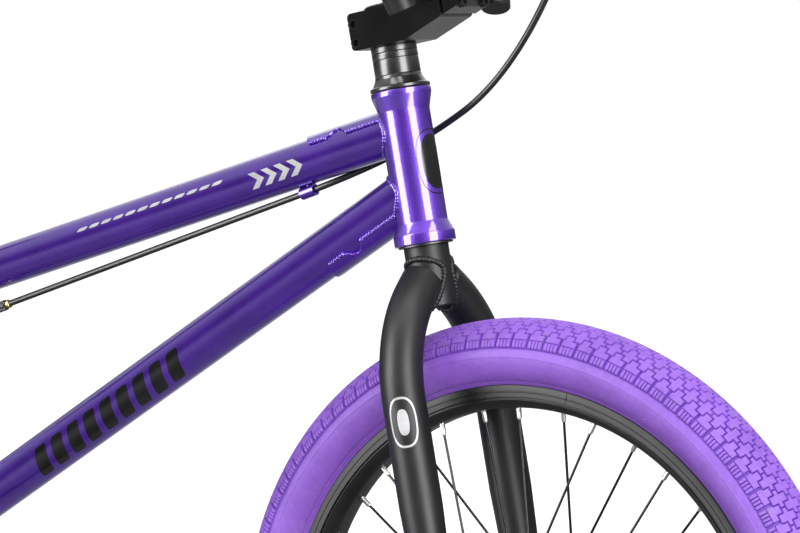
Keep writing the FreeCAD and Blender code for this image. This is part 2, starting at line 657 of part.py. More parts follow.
def make_lever():
    place = lever_frame()
    clamp = ring(BAR_RADIUS + 0.02, 16.5, -8, 8, V(0, 0, 0), V(1, 0, 0))
    arm = box(V(-8, 12, -6.5), V(14, 42, 6.5))
    body = clamp.fuse(arm).cut(rod(V(-20, 0, 0), V(20, 0, 0), BAR_RADIUS + 0.02))
    body = body.cut(box(V(-3.5, 22, -3.4), V(16, 46, 3.4)))
    pivot = V(LEVER_PIVOT_OUT, LEVER_PIVOT_AHEAD, 0)
    body = body.cut(rod(pivot - V(0, 0, 10), pivot + V(0, 0, 10), 2.52))
    body = body.cut(rod(V(-12, 30, 0), V(0, 30, 0), 1.2))
    pin = rod(pivot - V(0, 0, 7.3), pivot + V(0, 0, 7.3), 2.5)
    clamp_bolt = socket_bolt(V(0, -16.55, 0), V(0, -1, 0), 4.2, 3.6, 2.4, 0.0)
    barrel = lathe([(1.2, 8), (3.8, 8), (3.8, 12), (5.2, 12.6), (5.2, 20), (3.6, 21), (3.6, 30), (1.2, 30)],
                   V(0, 30, 0), V(-1, 0, 0))
    add("brake_lever_bracket", [body, pin, clamp_bolt, barrel], place)

    thick = 3.0
    outline = [V(-1.5, 26, 0), V(8, 24.5, 0), V(19, 33, 0), V(38, 41.5, 0), V(70, 43.5, 0), V(88, 48, 0),
               V(92, 50.5, 0), V(90, 55, 0), V(84, 55.5, 0), V(66, 51.5, 0), V(36, 50.5, 0), V(14, 43.5, 0),
               V(4, 40, 0), V(-1.5, 38, 0)]
    face = Part.Face(Part.makePolygon([V(p.x, p.y, -thick) for p in outline + [outline[0]]]))
    blade = face.extrude(V(0, 0, 2 * thick))
    blade = blade.cut(rod(pivot - V(0, 0, 10), pivot + V(0, 0, 10), 2.5 + RUNNING_GAP))
    add("brake_lever", blade, place)


def make_loop_cable():
    corners = loop_cable_corners()
    radii = widest_radii(corners)
    print("loop cable bend radii:", [round(radius) for radius in radii])
    housing = bent_bar(corners, radii, CABLE_RADIUS)
    report_tube("loop cable", corners, radii, housing)
    add("brake_cable_loop", housing)


# ------------------------------------------------------------------- wheels
def tyre_section():
    """Outline of the carcass and tread, as (radius, distance along the axle)."""
    half = TYRE_WIDTH / 2
    return [(BEAD_RADIUS + 0.4, 10.6), (BEAD_RADIUS + 0.4, 14.1), (208.6, 14.1), (210.2, 16.6),
            (214, 20.5), (219, 24.6), (227, 27.6), (234, half), (240, 26.6), (247, 21.8), (253, 14.0),
            (256, 7.5), (TYRE_RADIUS, 0)]


def tyre_lining():
    return [(251.0, 0), (250.0, 7.5), (247.5, 13.0), (242, 19.2), (236, 22.6), (231, 23.8), (224, 22.4),
            (217, 18.4), (211, 12.6), (206, 10.6)]


def mirror_section(half_outline):
    """Join a half outline on the left with its mirror image on the right."""
    return half_outline + [(radius, -along) for radius, along in reversed(half_outline) if abs(along) > 0.001]


def make_wheel(prefix, centre, hub_solids, flange_side, flange_radius):
    """One wheel about its axle: tyre, inner tube, rim, spokes, nipples and hub."""
    outer = tyre_section()
    lining = tyre_lining()
    whole = outer + [(radius, -along) for radius, along in reversed(outer[:-1])]
    inside = [(radius, -along) for radius, along in reversed(lining[1:])] + lining
    add(prefix + "_tyre", lathe(whole + inside, centre, Y))

    tube_half = [(205.2, 0), (206.2, 9.6), (211.5, 12.0), (217, 17.8), (224, 21.8), (231, 23.2), (236, 22.0),
                 (242, 18.6), (247, 12.4), (249.5, 7.2), (250.5, 0)]
    tube_outer = tube_half + [(radius, -along) for radius, along in reversed(tube_half[1:-1])]
    tube_inner = [(227.5 + (radius - 227.5) * 0.92, along * 0.92) for radius, along in tube_outer]
    tube = lathe(tube_outer, centre, Y).cut(lathe(tube_inner, centre, Y))
    valve_up = wheel_direction(FIRST_SPOKE_ANGLE + 5.0)
    valve = rod(centre + valve_up * 170, centre + valve_up * 205.0, 3.0)
    add(prefix + "_inner_tube", [tube, valve])
    places = spoke_places(centre, flange_side, flange_radius)
    add(prefix + "_rim", drilled(make_rim(centre, valve_up), places))
    make_spokes(prefix, places)
    add(prefix + "_hub", [pierced(hub_solids[0], places)] + hub_solids[1:])


def wheel_direction(angle):
    """Unit vector in the wheel's plane, from the forward direction upward."""
    radians = math.radians(angle)
    return V(math.cos(radians), 0, math.sin(radians))


def make_rim(centre, valve_up):
    """A double-wall rim with hooked flanges and a groove in each side wall."""
    half = RIM_WIDTH / 2
    flange = [(RIM_BED_RADIUS, 0), (RIM_BED_RADIUS, 7.0), (193.3, 11.5), (195.6, 14.6), (198.6, half),
              (199.2, half - 0.7), (199.9, half - 0.7), (200.5, half), (RIM_FLANGE_RADIUS - 0.8, half),
              (RIM_FLANGE_RADIUS, half - 0.9), (208.4, 14.9), (206.0, 14.7), (204.8, 15.0),
              (BEAD_RADIUS + 0.2, 14.7), (BEAD_RADIUS - 0.2, 9.0), (201.2, 7.0), (201.2, 0)]
    outline = flange + [(radius, -along) for radius, along in reversed(flange[1:-1])]
    cavity = [(193.8, 0), (193.8, 6.4), (194.8, 10.4), (196.8, 13.0), (199.4, 14.0), (199.4, 0)]
    hollow = cavity + [(radius, -along) for radius, along in reversed(cavity[1:-1])]
    rim = lathe(outline, centre, Y).cut(lathe(hollow, centre, Y))
    return rim.cut(rod(centre + valve_up * 180, centre + valve_up * 210, 3.3))


def spoke_places(centre, flange_side, flange_radius):
    """For each spoke: its side, which face of the flange it leaves, its foot and its nipple seat."""
    places = []
    for index in range(SPOKE_COUNT):
        side = 1 if index % 2 == 0 else -1
        leading = 1 if (index // 2) % 2 == 0 else -1
        rim_angle = FIRST_SPOKE_ANGLE + index * 360.0 / SPOKE_COUNT
        hub_angle = rim_angle - leading * SPOKE_CROSS_ANGLE
        foot = centre + wheel_direction(hub_angle) * flange_radius + Y * (side * flange_side + 3.4 * leading)
        seat = centre + wheel_direction(rim_angle) * NIPPLE_SEAT_RADIUS + Y * (side * 3.2 + 0.9 * leading)
        places.append((leading, foot, seat))
    return places


def make_spokes(prefix, places):
    """Bent spokes with a head behind the flange, and the nipples they screw into."""
    spokes = []
    nipples = []
    for leading, foot, seat in places:
        inward = unit(foot - seat)
        joint = seat + inward * 13.6
        through = foot - Y * (leading * 5.0)
        spoke = rod(foot, joint, SPOKE_RADIUS).fuse(rod(foot, through, SPOKE_RADIUS))
        spoke = spoke.fuse(Part.makeSphere(SPOKE_RADIUS, foot))
        spoke = spoke.fuse(rod(through, through - Y * (leading * 0.8), 1.7))
        spokes.append(spoke)
        nipple = lathe([(0, 0), (2.9, 0), (2.9, 1.2), (2.0, 2.0), (2.0, 12.4), (1.6, 13.5), (0, 13.5)],
                       seat, inward)
        nipples.append(nipple)
    add(prefix + "_spokes", spokes)
    add(prefix + "_nipples", nipples)


def drilled(rim, places):
    """The rim with a hole through its bed for each nipple."""
    for leading, foot, seat in places:
        inward = unit(foot - seat)
        rim = rim.cut(rod(seat + inward * 1.0, seat + inward * 9.0, 2.05))
    return rim


def pierced(hub, places):
    """The hub with a hole through its flanges for each spoke."""
    for leading, foot, seat in places:
        hub = hub.cut(rod(foot, foot - Y * (leading * 5.4), 1.25))
    return hub


def hub_shell(centre, flange_side, flange_radius, end, barrel, bore):
    """A turned hub with two drilled flanges and a shallow waist."""
    outer_edge = flange_radius + 2.6
    inner_edge = flange_radius - 2.6
    half = [(barrel, 0), (barrel, flange_side - 8), (barrel + 2, flange_side - 3), (inner_edge, flange_side - 1.2),
            (flange_radius, flange_side - 1.2), (outer_edge, flange_side - 0.8), (outer_edge, flange_side + 0.8),
            (flange_radius, flange_side + 1.2), (inner_edge, flange_side + 1.2), (barrel + 2, flange_side + 3.0),
            (barrel + 1, end), (bore, end)]
    outline = [(radius, -along) for radius, along in reversed(half[1:])] + half
    return lathe(outline, centre, Y)


def make_front_wheel():
    centre = front_axle
    bearing_gap = 0.06
    shell = hub_shell(centre, 27.0, 20.5, 44.0, 13.5, 11.5)
    shell = shell.cut(rod(centre - Y * 44.5, centre + Y * 44.5, 11.5))
    solids = [shell]
    for side in (-1, 1):
        solids.append(ring(FRONT_AXLE_RADIUS + bearing_gap, 11.5, 35.0, 43.5, centre, Y * side))
    make_wheel("front", centre, solids, 27.0, 20.5)

    axle = rod(centre - Y * FRONT_AXLE_HALF, centre + Y * FRONT_AXLE_HALF, FRONT_AXLE_RADIUS)
    for side in (-1, 1):
        axle = axle.cut(end_groove(FRONT_AXLE_RADIUS, FRONT_HUB_HALF + 16.0, centre, Y * side))
    pieces = [axle]
    for side in (-1, 1):
        pieces.append(ring(FRONT_AXLE_RADIUS, 9.0, 44.6, FRONT_HUB_HALF, centre, Y * side))
        pieces.append(hex_nut(centre, Y * side, FRONT_AXLE_RADIUS, FRONT_HUB_HALF + 6.0, 10.0, 8.6))
    add("front_axle_set", pieces)


def end_groove(radius, start, centre, axis):
    """Cuts a narrow groove round an axle, between the nut and the axle's free end."""
    return ring(radius - 0.5, radius + 1.0, start, start + 1.0, centre, axis)


def hex_nut(centre, axis, bore, start, height, corner_radius):
    """A hexagon nut with a washer face; start is its distance along the axis."""
    corners = [V(corner_radius * math.cos(math.radians(60 * k)), corner_radius * math.sin(math.radians(60 * k)),
                 start + 1.5) for k in range(6)]
    nut = Part.Face(Part.makePolygon(corners + [corners[0]])).extrude(V(0, 0, height - 1.5))
    nut = nut.common(lathe([(0, start), (corner_radius, start), (corner_radius, start + height - 1.2),
                            (corner_radius - 1.4, start + height), (0, start + height)]))
    nut = nut.fuse(ring(bore, corner_radius + 0.9, start, start + 1.5))
    nut = nut.cut(rod(V(0, 0, start - 1), V(0, 0, start + height + 1), bore))
    nut.Placement = FreeCAD.Placement(centre, FreeCAD.Rotation(V(0, 0, 1), axis))
    return nut


def make_rear_wheel():
    centre = rear_axle
    shell = hub_shell(centre, 24.0, 24.0, 34.0, 17.0, 15.0)
    shell = shell.cut(rod(centre - Y * 35, centre + Y * 35, 15.0))
    solids = [shell]
    for side in (-1, 1):
        solids.append(ring(REAR_AXLE_RADIUS + 0.06, 15.0, 24.0, 33.5, centre, Y * side))
    make_wheel("rear", centre, solids, 24.0, 24.0)

    driver = moved(sprocket(DRIVER_TEETH, driver_phase(), 2.7, 0.5), FreeCAD.Placement(centre, FreeCAD.Rotation()))
    sleeve = ring(REAR_AXLE_RADIUS + 0.1, 13.0, 34.6, 47.0, centre, Y * -1)
    driver = driver.cut(rod(centre - Y * 60, centre, 12.0)).fuse(sleeve)
    add("rear_driver", driver)

    axle = rod(centre - Y * REAR_AXLE_HALF, centre + Y * REAR_AXLE_HALF, REAR_AXLE_RADIUS)
    for side in (-1, 1):
        axle = axle.cut(end_groove(REAR_AXLE_RADIUS, REAR_HUB_HALF + 18.0, centre, Y * side))
    pieces = [axle]
    for side, inner_end in ((-1, 47.6), (1, 34.6)):
        pieces.append(ring(REAR_AXLE_RADIUS, 11.0, inner_end, REAR_HUB_HALF, centre, Y * side))
        pieces.append(hex_nut(centre, Y * side, REAR_AXLE_RADIUS, REAR_HUB_HALF + 5.0, 13.0, 12.2))
    add("rear_axle_set", pieces)


# ------------------------------------------------------------- drivetrain
def pitch_radius(teeth):
    return CHAIN_PITCH / (2 * math.sin(math.pi / teeth))


def centre_line_angle():
    """Direction from the bottom bracket to the rear axle, in degrees."""
    return math.degrees(math.atan2(rear_axle.z - bb.z, rear_axle.x - bb.x))


def ring_phase():
    """Angle of one tooth gap of the chainring: the wrap is centred ahead of it."""
    return centre_line_angle() + 180.0


def driver_phase():
    return centre_line_angle()


def sprocket(teeth, phase, tooth_height, ease):
    """A flat sprocket about the origin, with a gap at the given angle, wider than the roller by ease."""
    radius = pitch_radius(teeth)
    gap = ROLLER_RADIUS + ease
    tip_radius = radius + tooth_height
    tip_half = 1.1 / tip_radius
    edges = []
    for tooth in range(teeth):
        middle = math.radians(phase) + 2 * math.pi * tooth / teeth
        outward = V(math.cos(middle), 0, math.sin(middle))
        around = V(-math.sin(middle), 0, math.cos(middle))
        centre = outward * radius
        start = centre + outward * (0.17 * gap) - around * (0.985 * gap)
        end = centre + outward * (0.17 * gap) + around * (0.985 * gap)
        edges.append(Part.Arc(start, centre - outward * gap, end).toShape())
        tip_angles = (middle + math.pi / teeth - tip_half, middle + math.pi / teeth + tip_half)
        tips = [V(math.cos(angle), 0, math.sin(angle)) * tip_radius for angle in tip_angles]
        edges.append(Part.LineSegment(end, tips[0]).toShape())
        edges.append(Part.LineSegment(tips[0], tips[1]).toShape())
        following = middle + 2 * math.pi / teeth
        next_out = V(math.cos(following), 0, math.sin(following))
        next_around = V(-math.sin(following), 0, math.cos(following))
        next_start = next_out * (radius + 0.17 * gap) - next_around * (0.985 * gap)
        edges.append(Part.LineSegment(tips[1], next_start).toShape())
    face = Part.Face(Part.Wire(edges))
    plate = face.extrude(Y * SPROCKET_THICK)
    plate.translate(Y * (CHAIN_LINE - SPROCKET_THICK / 2))
    return plate


def chain_points():
    """Roller centres, in order round the chainring, along the top, round the driver and back."""
    points = []
    ring_radius = pitch_radius(RING_TEETH)
    driver_radius = pitch_radius(DRIVER_TEETH)
    for step in range(RING_WRAP_LINKS + 1):
        angle = math.radians(ring_phase() + (step - RING_WRAP_LINKS / 2) * 360.0 / RING_TEETH)
        points.append(bb + V(math.cos(angle), 0, math.sin(angle)) * ring_radius)
    wrap = []
    for step in range(DRIVER_WRAP_LINKS + 1):
        angle = math.radians(driver_phase() + (step - DRIVER_WRAP_LINKS / 2) * 360.0 / DRIVER_TEETH)
        wrap.append(rear_axle + V(math.cos(angle), 0, math.sin(angle)) * driver_radius)
    points += straight_run(points[-1], wrap[0]) + wrap
    points += straight_run(wrap[-1], points[0])
    return [V(point.x, CHAIN_LINE, point.z) for point in points]


def straight_run(start, end):
    return [start + (end - start) * (link / CHAIN_RUN_LINKS) for link in range(1, CHAIN_RUN_LINKS)]


def link_plate(length, low, high):
    """A chain side plate with round ends and two pin holes, from the origin along +X."""
    radius = 4.1
    plate = rod(V(0, low, 0), V(0, high, 0), radius).fuse(rod(V(length, low, 0), V(length, high, 0), radius))
    plate = plate.fuse(box(V(0, low, -3.2), V(length, high, 3.2)))
    for at in (0, length):
        plate = plate.cut(rod(V(at, low - 1, 0), V(at, high + 1, 0), 1.85))
    return plate


def make_chain():
    points = chain_points()
    print("chain links:", len(points))
    inner = []
    outer = []
    inner_plates = [link_plate(CHAIN_PITCH, 1.65, 2.7), link_plate(CHAIN_PITCH, -2.7, -1.65)]
    outer_plates = [link_plate(CHAIN_PITCH, 2.8, 3.85), link_plate(CHAIN_PITCH, -3.85, -2.8)]
    roller = rod(V(0, -1.6, 0), V(0, 1.6, 0), ROLLER_RADIUS).cut(rod(V(0, -2, 0), V(0, 2, 0), 1.85))
    pin = rod(V(0, -4.4, 0), V(0, 4.4, 0), 1.8)
    for index, point in enumerate(points):
        following = points[(index + 1) % len(points)]
        angle = math.degrees(math.atan2(following.z - point.z, following.x - point.x))
        place = FreeCAD.Placement(point, FreeCAD.Rotation(Y, -angle))
        plates = inner_plates if index % 2 == 0 else outer_plates
        group = inner if index % 2 == 0 else outer
        group += [moved(plate, place) for plate in plates]
        inner.append(moved(roller, place))
        outer.append(moved(pin, place))
    add("chain_inner_links", inner)
    add("chain_outer_links", outer)


def make_chainring():
    plate = moved(sprocket(RING_TEETH, ring_phase(), 3.6, 0.17), FreeCAD.Placement(bb, FreeCAD.Rotation()))
    plate = plate.cut(rod(bb - Y * 60, bb, SPINDLE_RADIUS + 0.02))
    for window in range(6):
        angle = math.radians(CRANK_ANGLE + 30 + window * 60)
        at = bb + V(math.cos(angle), 0, math.sin(angle)) * 35
        plate = plate.cut(rod(at - Y * 60, at, 10.5))
    bolt_hole = crank_point(-1, 22, 0)
    plate = plate.cut(rod(bolt_hole - Y * 60, bolt_hole, 4.1))
    add("chainring", plate)


def crank_point(side, along, across):
    """A point beside the crank on one side (-1 right, 1 left), measured from the spindle."""
    angle = math.radians(CRANK_ANGLE + (0 if side < 0 else 180))
    out = V(math.cos(angle), 0, math.sin(angle))
    return bb + out * along + Y * across


def make_cranks():
    arms = []
    for side in (-1, 1):
        hub = rod(crank_point(side, 0, side * 47.0), crank_point(side, 0, side * 74), 15.0)
        eye = rod(crank_point(side, CRANK_LENGTH, side * 60), crank_point(side, CRANK_LENGTH, side * 78), 13.5)
        start = crank_point(side, 0, side * 62)
        end = crank_point(side, CRANK_LENGTH, side * 69)
        arm = cone(start, end, 12.5, 10.5).fuse(hub).fuse(eye)
        if side < 0:
            arm = arm.fuse(rod(crank_point(side, 22, -43.5), crank_point(side, 22, -56), 8.0))
            arm = arm.cut(rod(crank_point(side, 22, -40), crank_point(side, 22, -54), 4.1))
        arm = arm.cut(rod(crank_point(side, 0, side * 40), crank_point(side, 0, side * 66), SPINDLE_RADIUS + 0.02))
        arm = arm.cut(rod(crank_point(side, 0, side * 60), crank_point(side, 0, side * 90), 5.0))
        arm = arm.cut(rod(crank_point(side, 0, side * 71), crank_point(side, 0, side * 90), 9.5))
        arm = arm.cut(rod(crank_point(side, CRANK_LENGTH, side * 50), crank_point(side, CRANK_LENGTH, side * 90),
                          7.05))
        arms.append(arm)
    add("crank_arms", arms)

    spindle = rod(bb - Y * 66, bb + Y * 66, SPINDLE_RADIUS)
    pieces = [spindle]
    for side in (-1, 1):
        bolt = rod(bb + Y * (side * 66.05), bb + Y * (side * 71.0), 4.9)
        head = rod(bb + Y * (side * 71.0), bb + Y * (side * 75.5), 9.2)
        pieces.append(bolt.fuse(head).cut(rod(bb + Y * (side * 72.5), bb + Y * (side * 76), 4.0)))
    ring_bolt = rod(crank_point(-1, 22, -38.2), crank_point(-1, 22, -53.5), 4.0)
    ring_bolt = ring_bolt.fuse(rod(crank_point(-1, 22, -37.8), crank_point(-1, 22, -40.65), 6.5))
    spacer = ring(SPINDLE_RADIUS + 0.02, 13.5, 34.3, 40.6, bb, Y * -1)
    far_spacer = ring(SPINDLE_RADIUS + 0.02, 13.5, 34.3, 46.9, bb, Y)
    add("crank_spindle", pieces + [ring_bolt, spacer, far_spacer])
    make_pedals()


def make_pedals():
    axles = []
    for side, name in ((-1, "pedal_right"), (1, "pedal_left")):
        centre = crank_point(side, CRANK_LENGTH, 0)
        axle = rod(centre + Y * (side * 61), centre + Y * (side * 84), 7.0)
        axle = axle.fuse(rod(centre + Y * (side * 84), centre + Y * (side * 178), PEDAL_AXLE_RADIUS))
        axles.append(axle)
        add(name, make_pedal_body(centre, side))
    add("pedal_axles", axles)


def make_pedal_body(centre, side):
    """A moulded platform: a waisted frame with a bearing barrel and raised studs."""
    near = 86.0
    far = 182.0
    half = 48.0
    outline = [(-half, near + 10), (-half + 8, near), (half - 8, near), (half, near + 10), (half, far - 12),
               (half - 10, far), (-half + 10, far), (-half, far - 12)]
    points = [V(x, side * y, -8.5) for x, y in outline]
    body = Part.Face(Part.makePolygon(points + [points[0]])).extrude(V(0, 0, 17))
    for low_x, high_x in ((-41, -13), (13, 41)):
        for low_y, high_y in ((near + 9, near + 44), (near + 52, far - 9)):
            ends = sorted((side * low_y, side * high_y))
            body = body.cut(box(V(low_x, ends[0], -10), V(high_x, ends[1], 10)))
    body = body.cut(rod(V(0, side * 80, 0), V(0, side * (far - 3), 0), PEDAL_AXLE_RADIUS + 0.06))
    for x in (-44.5, -27, 27, 44.5):
        for y in (near + 14, near + 48, far - 16):
            if abs(x) > 40 or y == near + 48:
                for face in (-1, 1):
                    stud = rod(V(x, side * y, face * 8.0), V(x, side * y, face * 10.5), 2.0)
                    body = body.fuse(stud)
    return moved(body, FreeCAD.Placement(centre, FreeCAD.Rotation()))


# ------------------------------------------------------------ seat post and saddle
SADDLE_TILT = 12.0
POST_EXPOSED = 62.0


def saddle_pivot():
    return bb + seat_up * (SEAT_TUBE_LENGTH + POST_EXPOSED)


def make_seat():
    pivot = saddle_pivot()
    low = bb + seat_up * 110
    post = rod(low, pivot - seat_up * 10, POST_RADIUS).cut(rod(low, pivot - seat_up * 24, POST_RADIUS - 2.2))
    knuckle = rod(pivot - Y * 12.7, pivot + Y * 12.7, 13.0)
    post = post.fuse(knuckle).cut(rod(pivot - Y * 14, pivot + Y * 14, 4.06))
    add("seat_post", post)

    place = FreeCAD.Placement(pivot, FreeCAD.Rotation(Y, -SADDLE_TILT))
    base = saddle_outline(122.0, -104.0, 60.0, 13.0, 16.5, 21.0)
    for side in (-1, 1):
        ends = sorted((side * 13.0, side * 18.5))
        cheek = box(V(-16, ends[0], -8), V(16, ends[1], 17))
        cheek = cheek.fuse(rod(V(0, ends[0], -2), V(0, ends[1], -2), 14))
        base = base.fuse(cheek)
    base = base.cut(rod(V(0, -30, 0), V(0, 30, 0), 4.0))
    bolt = rod(V(0, -18.55, 0), V(0, 18.55, 0), 4.0).fuse(rod(V(0, -23.5, 0), V(0, -18.55, 0), 6.6))
    bolt = bolt.cut(rod(V(0, -24, 0), V(0, -21.0, 0), 3.0))
    nut = rod(V(0, 18.6, 0), V(0, 22.6, 0), 6.6).cut(rod(V(0, 20.4, 0), V(0, 24, 0), 3.0))
    add("saddle_base", [base, bolt, nut], place)
    cushion = saddle_outline(128.0, -112.0, 66.0, 16.0, 21.0, 47.0)
    add("saddle_cushion", cushion, place)


def saddle_outline(nose, tail, wide, narrow, low, high):
    """A saddle plan: round nose, waist and broad rounded rear, as a flat slab."""
    left = [(nose, 0), (nose - 6, narrow * 0.7), (nose - 22, narrow), (nose - 70, narrow + 8),
            (nose - 120, narrow + 22), (tail + 70, wide - 6), (tail + 36, wide), (tail + 12, wide - 10),
            (tail + 2, wide - 32), (tail, 0)]
    right = [(x, -y) for x, y in reversed(left[1:-1])]
    points = [V(x, y, low) for x, y in left + right]
    return Part.Face(Part.makePolygon(points + [points[0]])).extrude(V(0, 0, high - low))


# --------------------------------------------------------------- rear brake
def make_rear_brake():
    """Two linear-pull arms on the stay bosses, each with its pad, pad stud and nut."""
    base = V(BRAKE_PIVOT_AT, BRAKE_PIVOT_SIDE, 0)
    barrel = rod(base + V(0, 0, 12.0), base + V(0, 0, 32.0), 7.6)
    strip = [(-2, 35.0), (30, 36.0), (78, 37.5), (105, 37.5), (105, 45.0), (60, 47.0), (20, 48.5), (-2, 48.4)]
    points = [V(BRAKE_PIVOT_AT + x, y, BRAKE_PLANE - 5) for x, y in strip]
    arm = Part.Face(Part.makePolygon(points + [points[0]])).extrude(V(0, 0, 10)).fuse(barrel)
    arm = arm.cut(rod(base, base + V(0, 0, 40), 4.0 + RUNNING_GAP))
    pad_at = math.sqrt(BRAKE_PAD_RADIUS ** 2 - BRAKE_PLANE ** 2)
    pad_centre = V(pad_at, 0, BRAKE_PLANE)
    arm = arm.cut(rod(pad_centre + Y * 20, pad_centre + Y * 60, 3.1))
    arm = arm.cut(rod(V(BRAKE_WIRE_AT, 20, BRAKE_PLANE), V(BRAKE_WIRE_AT, 60, BRAKE_PLANE), 3.6))
    arm = max(arm.Solids, key=lambda solid: solid.Volume)
    inner_face = RIM_WIDTH / 2 + 2.1
    tangent = FreeCAD.Rotation(Y, -math.degrees(math.atan2(BRAKE_PLANE, pad_at)))
    pad = moved(box(V(-4.5, inner_face, -25), V(4.5, inner_face + 9, 25)), FreeCAD.Placement(pad_centre, tangent))
    stud = rod(pad_centre + Y * (inner_face + 9), pad_centre + Y * 52.5, 3.0)
    nut = moved(ring(3.05, 5.2, 48.9, 52.4, V(0, 0, 0), Y), FreeCAD.Placement(pad_centre, FreeCAD.Rotation()))
    add("brake_arm_left", [arm, pad, stud, nut], stay_frame)
    add("brake_arm_right", [mirrored(arm), mirrored(pad), mirrored(stud), mirrored(nut)], stay_frame)


# -------------------------------------------------------------------- build
make_frame()
make_frame_cable()
make_fork()
make_headset()
make_stem()
make_handlebar()
make_lever()
make_loop_cable()
make_front_wheel()
make_rear_wheel()
make_chain()
make_chainring()
make_cranks()
make_seat()
make_rear_brake()

os.makedirs("parts", exist_ok=True)
for node_name, node_shape in nodes.items():
    node_shape.exportStep("parts/" + node_name + ".step")
print(len(nodes), "nodes")
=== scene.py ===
"""Looks of a BMX bicycle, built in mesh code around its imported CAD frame.

Pieces are worked out in millimetres in the row frame (+X forward, +Y left, +Z up)
and turned into metres when their mesh is made.
"""
import json
import math

import bmesh
import bpy
import numpy as np
from mathutils import Matrix, Vector


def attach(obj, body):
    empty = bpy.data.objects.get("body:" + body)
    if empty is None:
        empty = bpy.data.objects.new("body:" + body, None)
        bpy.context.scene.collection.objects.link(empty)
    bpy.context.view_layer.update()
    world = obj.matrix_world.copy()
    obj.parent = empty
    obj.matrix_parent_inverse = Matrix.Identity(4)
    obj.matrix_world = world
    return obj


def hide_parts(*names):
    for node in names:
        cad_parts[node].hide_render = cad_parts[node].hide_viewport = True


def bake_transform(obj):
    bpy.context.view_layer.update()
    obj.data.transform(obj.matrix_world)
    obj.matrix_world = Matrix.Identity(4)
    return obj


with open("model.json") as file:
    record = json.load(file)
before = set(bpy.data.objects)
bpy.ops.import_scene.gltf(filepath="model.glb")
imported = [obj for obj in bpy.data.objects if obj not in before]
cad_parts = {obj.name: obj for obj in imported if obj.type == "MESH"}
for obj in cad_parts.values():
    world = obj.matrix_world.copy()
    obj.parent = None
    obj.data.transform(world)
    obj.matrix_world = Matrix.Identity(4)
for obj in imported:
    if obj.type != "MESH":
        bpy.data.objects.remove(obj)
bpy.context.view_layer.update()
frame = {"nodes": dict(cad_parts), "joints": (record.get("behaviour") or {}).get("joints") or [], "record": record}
MM = 0.001
Y = Vector((0, 1, 0))

# --------------------------------------------------------------- the frame's axes
JOINTS = {joint["name"]: joint for joint in frame["joints"]}
BODY_OF = {}
for body_name, members in frame["record"]["behaviour"]["bodies"].items():
    for member in members:
        BODY_OF[member] = body_name


def joint_at(name):
    """A hinge's position, in millimetres."""
    return Vector(JOINTS[name]["pos_m"]) / MM


HEAD_BOTTOM = joint_at("steering")
HEAD_UP = Vector(JOINTS["steering"]["axis"]).normalized()
HEAD_FORWARD = Y.cross(HEAD_UP).normalized()
FRONT_AXLE = joint_at("front_wheel_spin")
REAR_AXLE = joint_at("rear_wheel_spin")
CRANK_AXIS = joint_at("crank_spin")
SEAT_UP = Vector(JOINTS["seat_height"]["axis"]).normalized()


def on_head(forward, side, up):
    """A point in the steering frame: ahead of the axis, to the left, and up from the head tube's bottom."""
    return HEAD_BOTTOM + HEAD_FORWARD * forward + Y * side + HEAD_UP * up


# ---------------------------------------------------------------- mesh building
class Shell:
    """Collects closed surfaces, in millimetres, that become one mesh object."""

    def __init__(self):
        self.points = []
        self.faces = []
        self.marks = []
        self.mark = 0

    def add(self, points, faces):
        base = len(self.points)
        self.points.extend(tuple(point) for point in points)
        self.faces.extend(tuple(base + corner for corner in face) for face in faces)
        self.marks.extend([self.mark] * len(faces))

    def grid(self, rows, wrap_rows=False, wrap_columns=True, cap_start=False, cap_end=False):
        """A sheet through rows of points. Each row has the same number of points."""
        count = len(rows[0])
        points = [point for row in rows for point in row]
        faces = []
        last_row = len(rows) if wrap_rows else len(rows) - 1
        last_column = count if wrap_columns else count - 1
        for r in range(last_row):
            for c in range(last_column):
                a = r * count + c
                b = r * count + (c + 1) % count
                low = ((r + 1) % len(rows)) * count
                faces.append((a, b, low + (c + 1) % count, low + c))
        if cap_start:
            faces.append(tuple(reversed(range(count))))
        if cap_end:
            base = (len(rows) - 1) * count
            faces.append(tuple(base + c for c in range(count)))
        self.add(points, faces)

    def lathe(self, profile, centre, axis, steps=96):
        """A closed outline of (radius, distance along the axis) turned about the axis."""
        across, other = square_to(axis)
        rows = []
        for step in range(steps):
            out = turned(across, other, step, steps)
            rows.append([centre + out * radius + axis * along for radius, along in profile])
        self.grid(rows, wrap_rows=True)

    def sweep(self, path, radii, sides=32, caps=True, edge=0.6):
        """A round bar along a path, with slightly rounded ends when it has caps."""
        if not isinstance(radii, list):
            radii = [radii] * len(path)
        if caps:
            first = (path[0] - path[1]).normalized()
            last = (path[-1] - path[-2]).normalized()
            path = [path[0], path[0] - first * edge] + path[1:-1] + [path[-1] - last * edge, path[-1]]
            radii = [radii[0] - edge, radii[0]] + radii[1:-1] + [radii[-1], radii[-1] - edge]
        self.grid(rings_along(path, radii, sides), cap_start=caps, cap_end=caps)


def square_to(axis):
    """Two unit vectors square to the axis and to each other."""
    start = Vector((1, 0, 0)) if abs(axis.x) < 0.8 else Vector((0, 0, 1))
    across = (start - axis * start.dot(axis)).normalized()
    return across, axis.cross(across)


def turned(across, other, step, steps):
    """Unit vector after some of the equal steps of a full turn, from one direction toward the other."""
    angle = 2 * math.pi * step / steps
    return across * math.cos(angle) + other * math.sin(angle)


def rings_along(path, radii, sides):
    """Rings of points square to a path, without twist."""
    rings = []
    across = None
    for index, point in enumerate(path):
        before = path[max(index - 1, 0)]
        after = path[min(index + 1, len(path) - 1)]
        along = (after - before).normalized()
        if across is None:
            across = square_to(along)[0]
        across = (across - along * across.dot(along)).normalized()
        other = along.cross(across)
        rings.append([point + turned(across, other, side, sides) * radii[index] for side in range(sides)])
    return rings


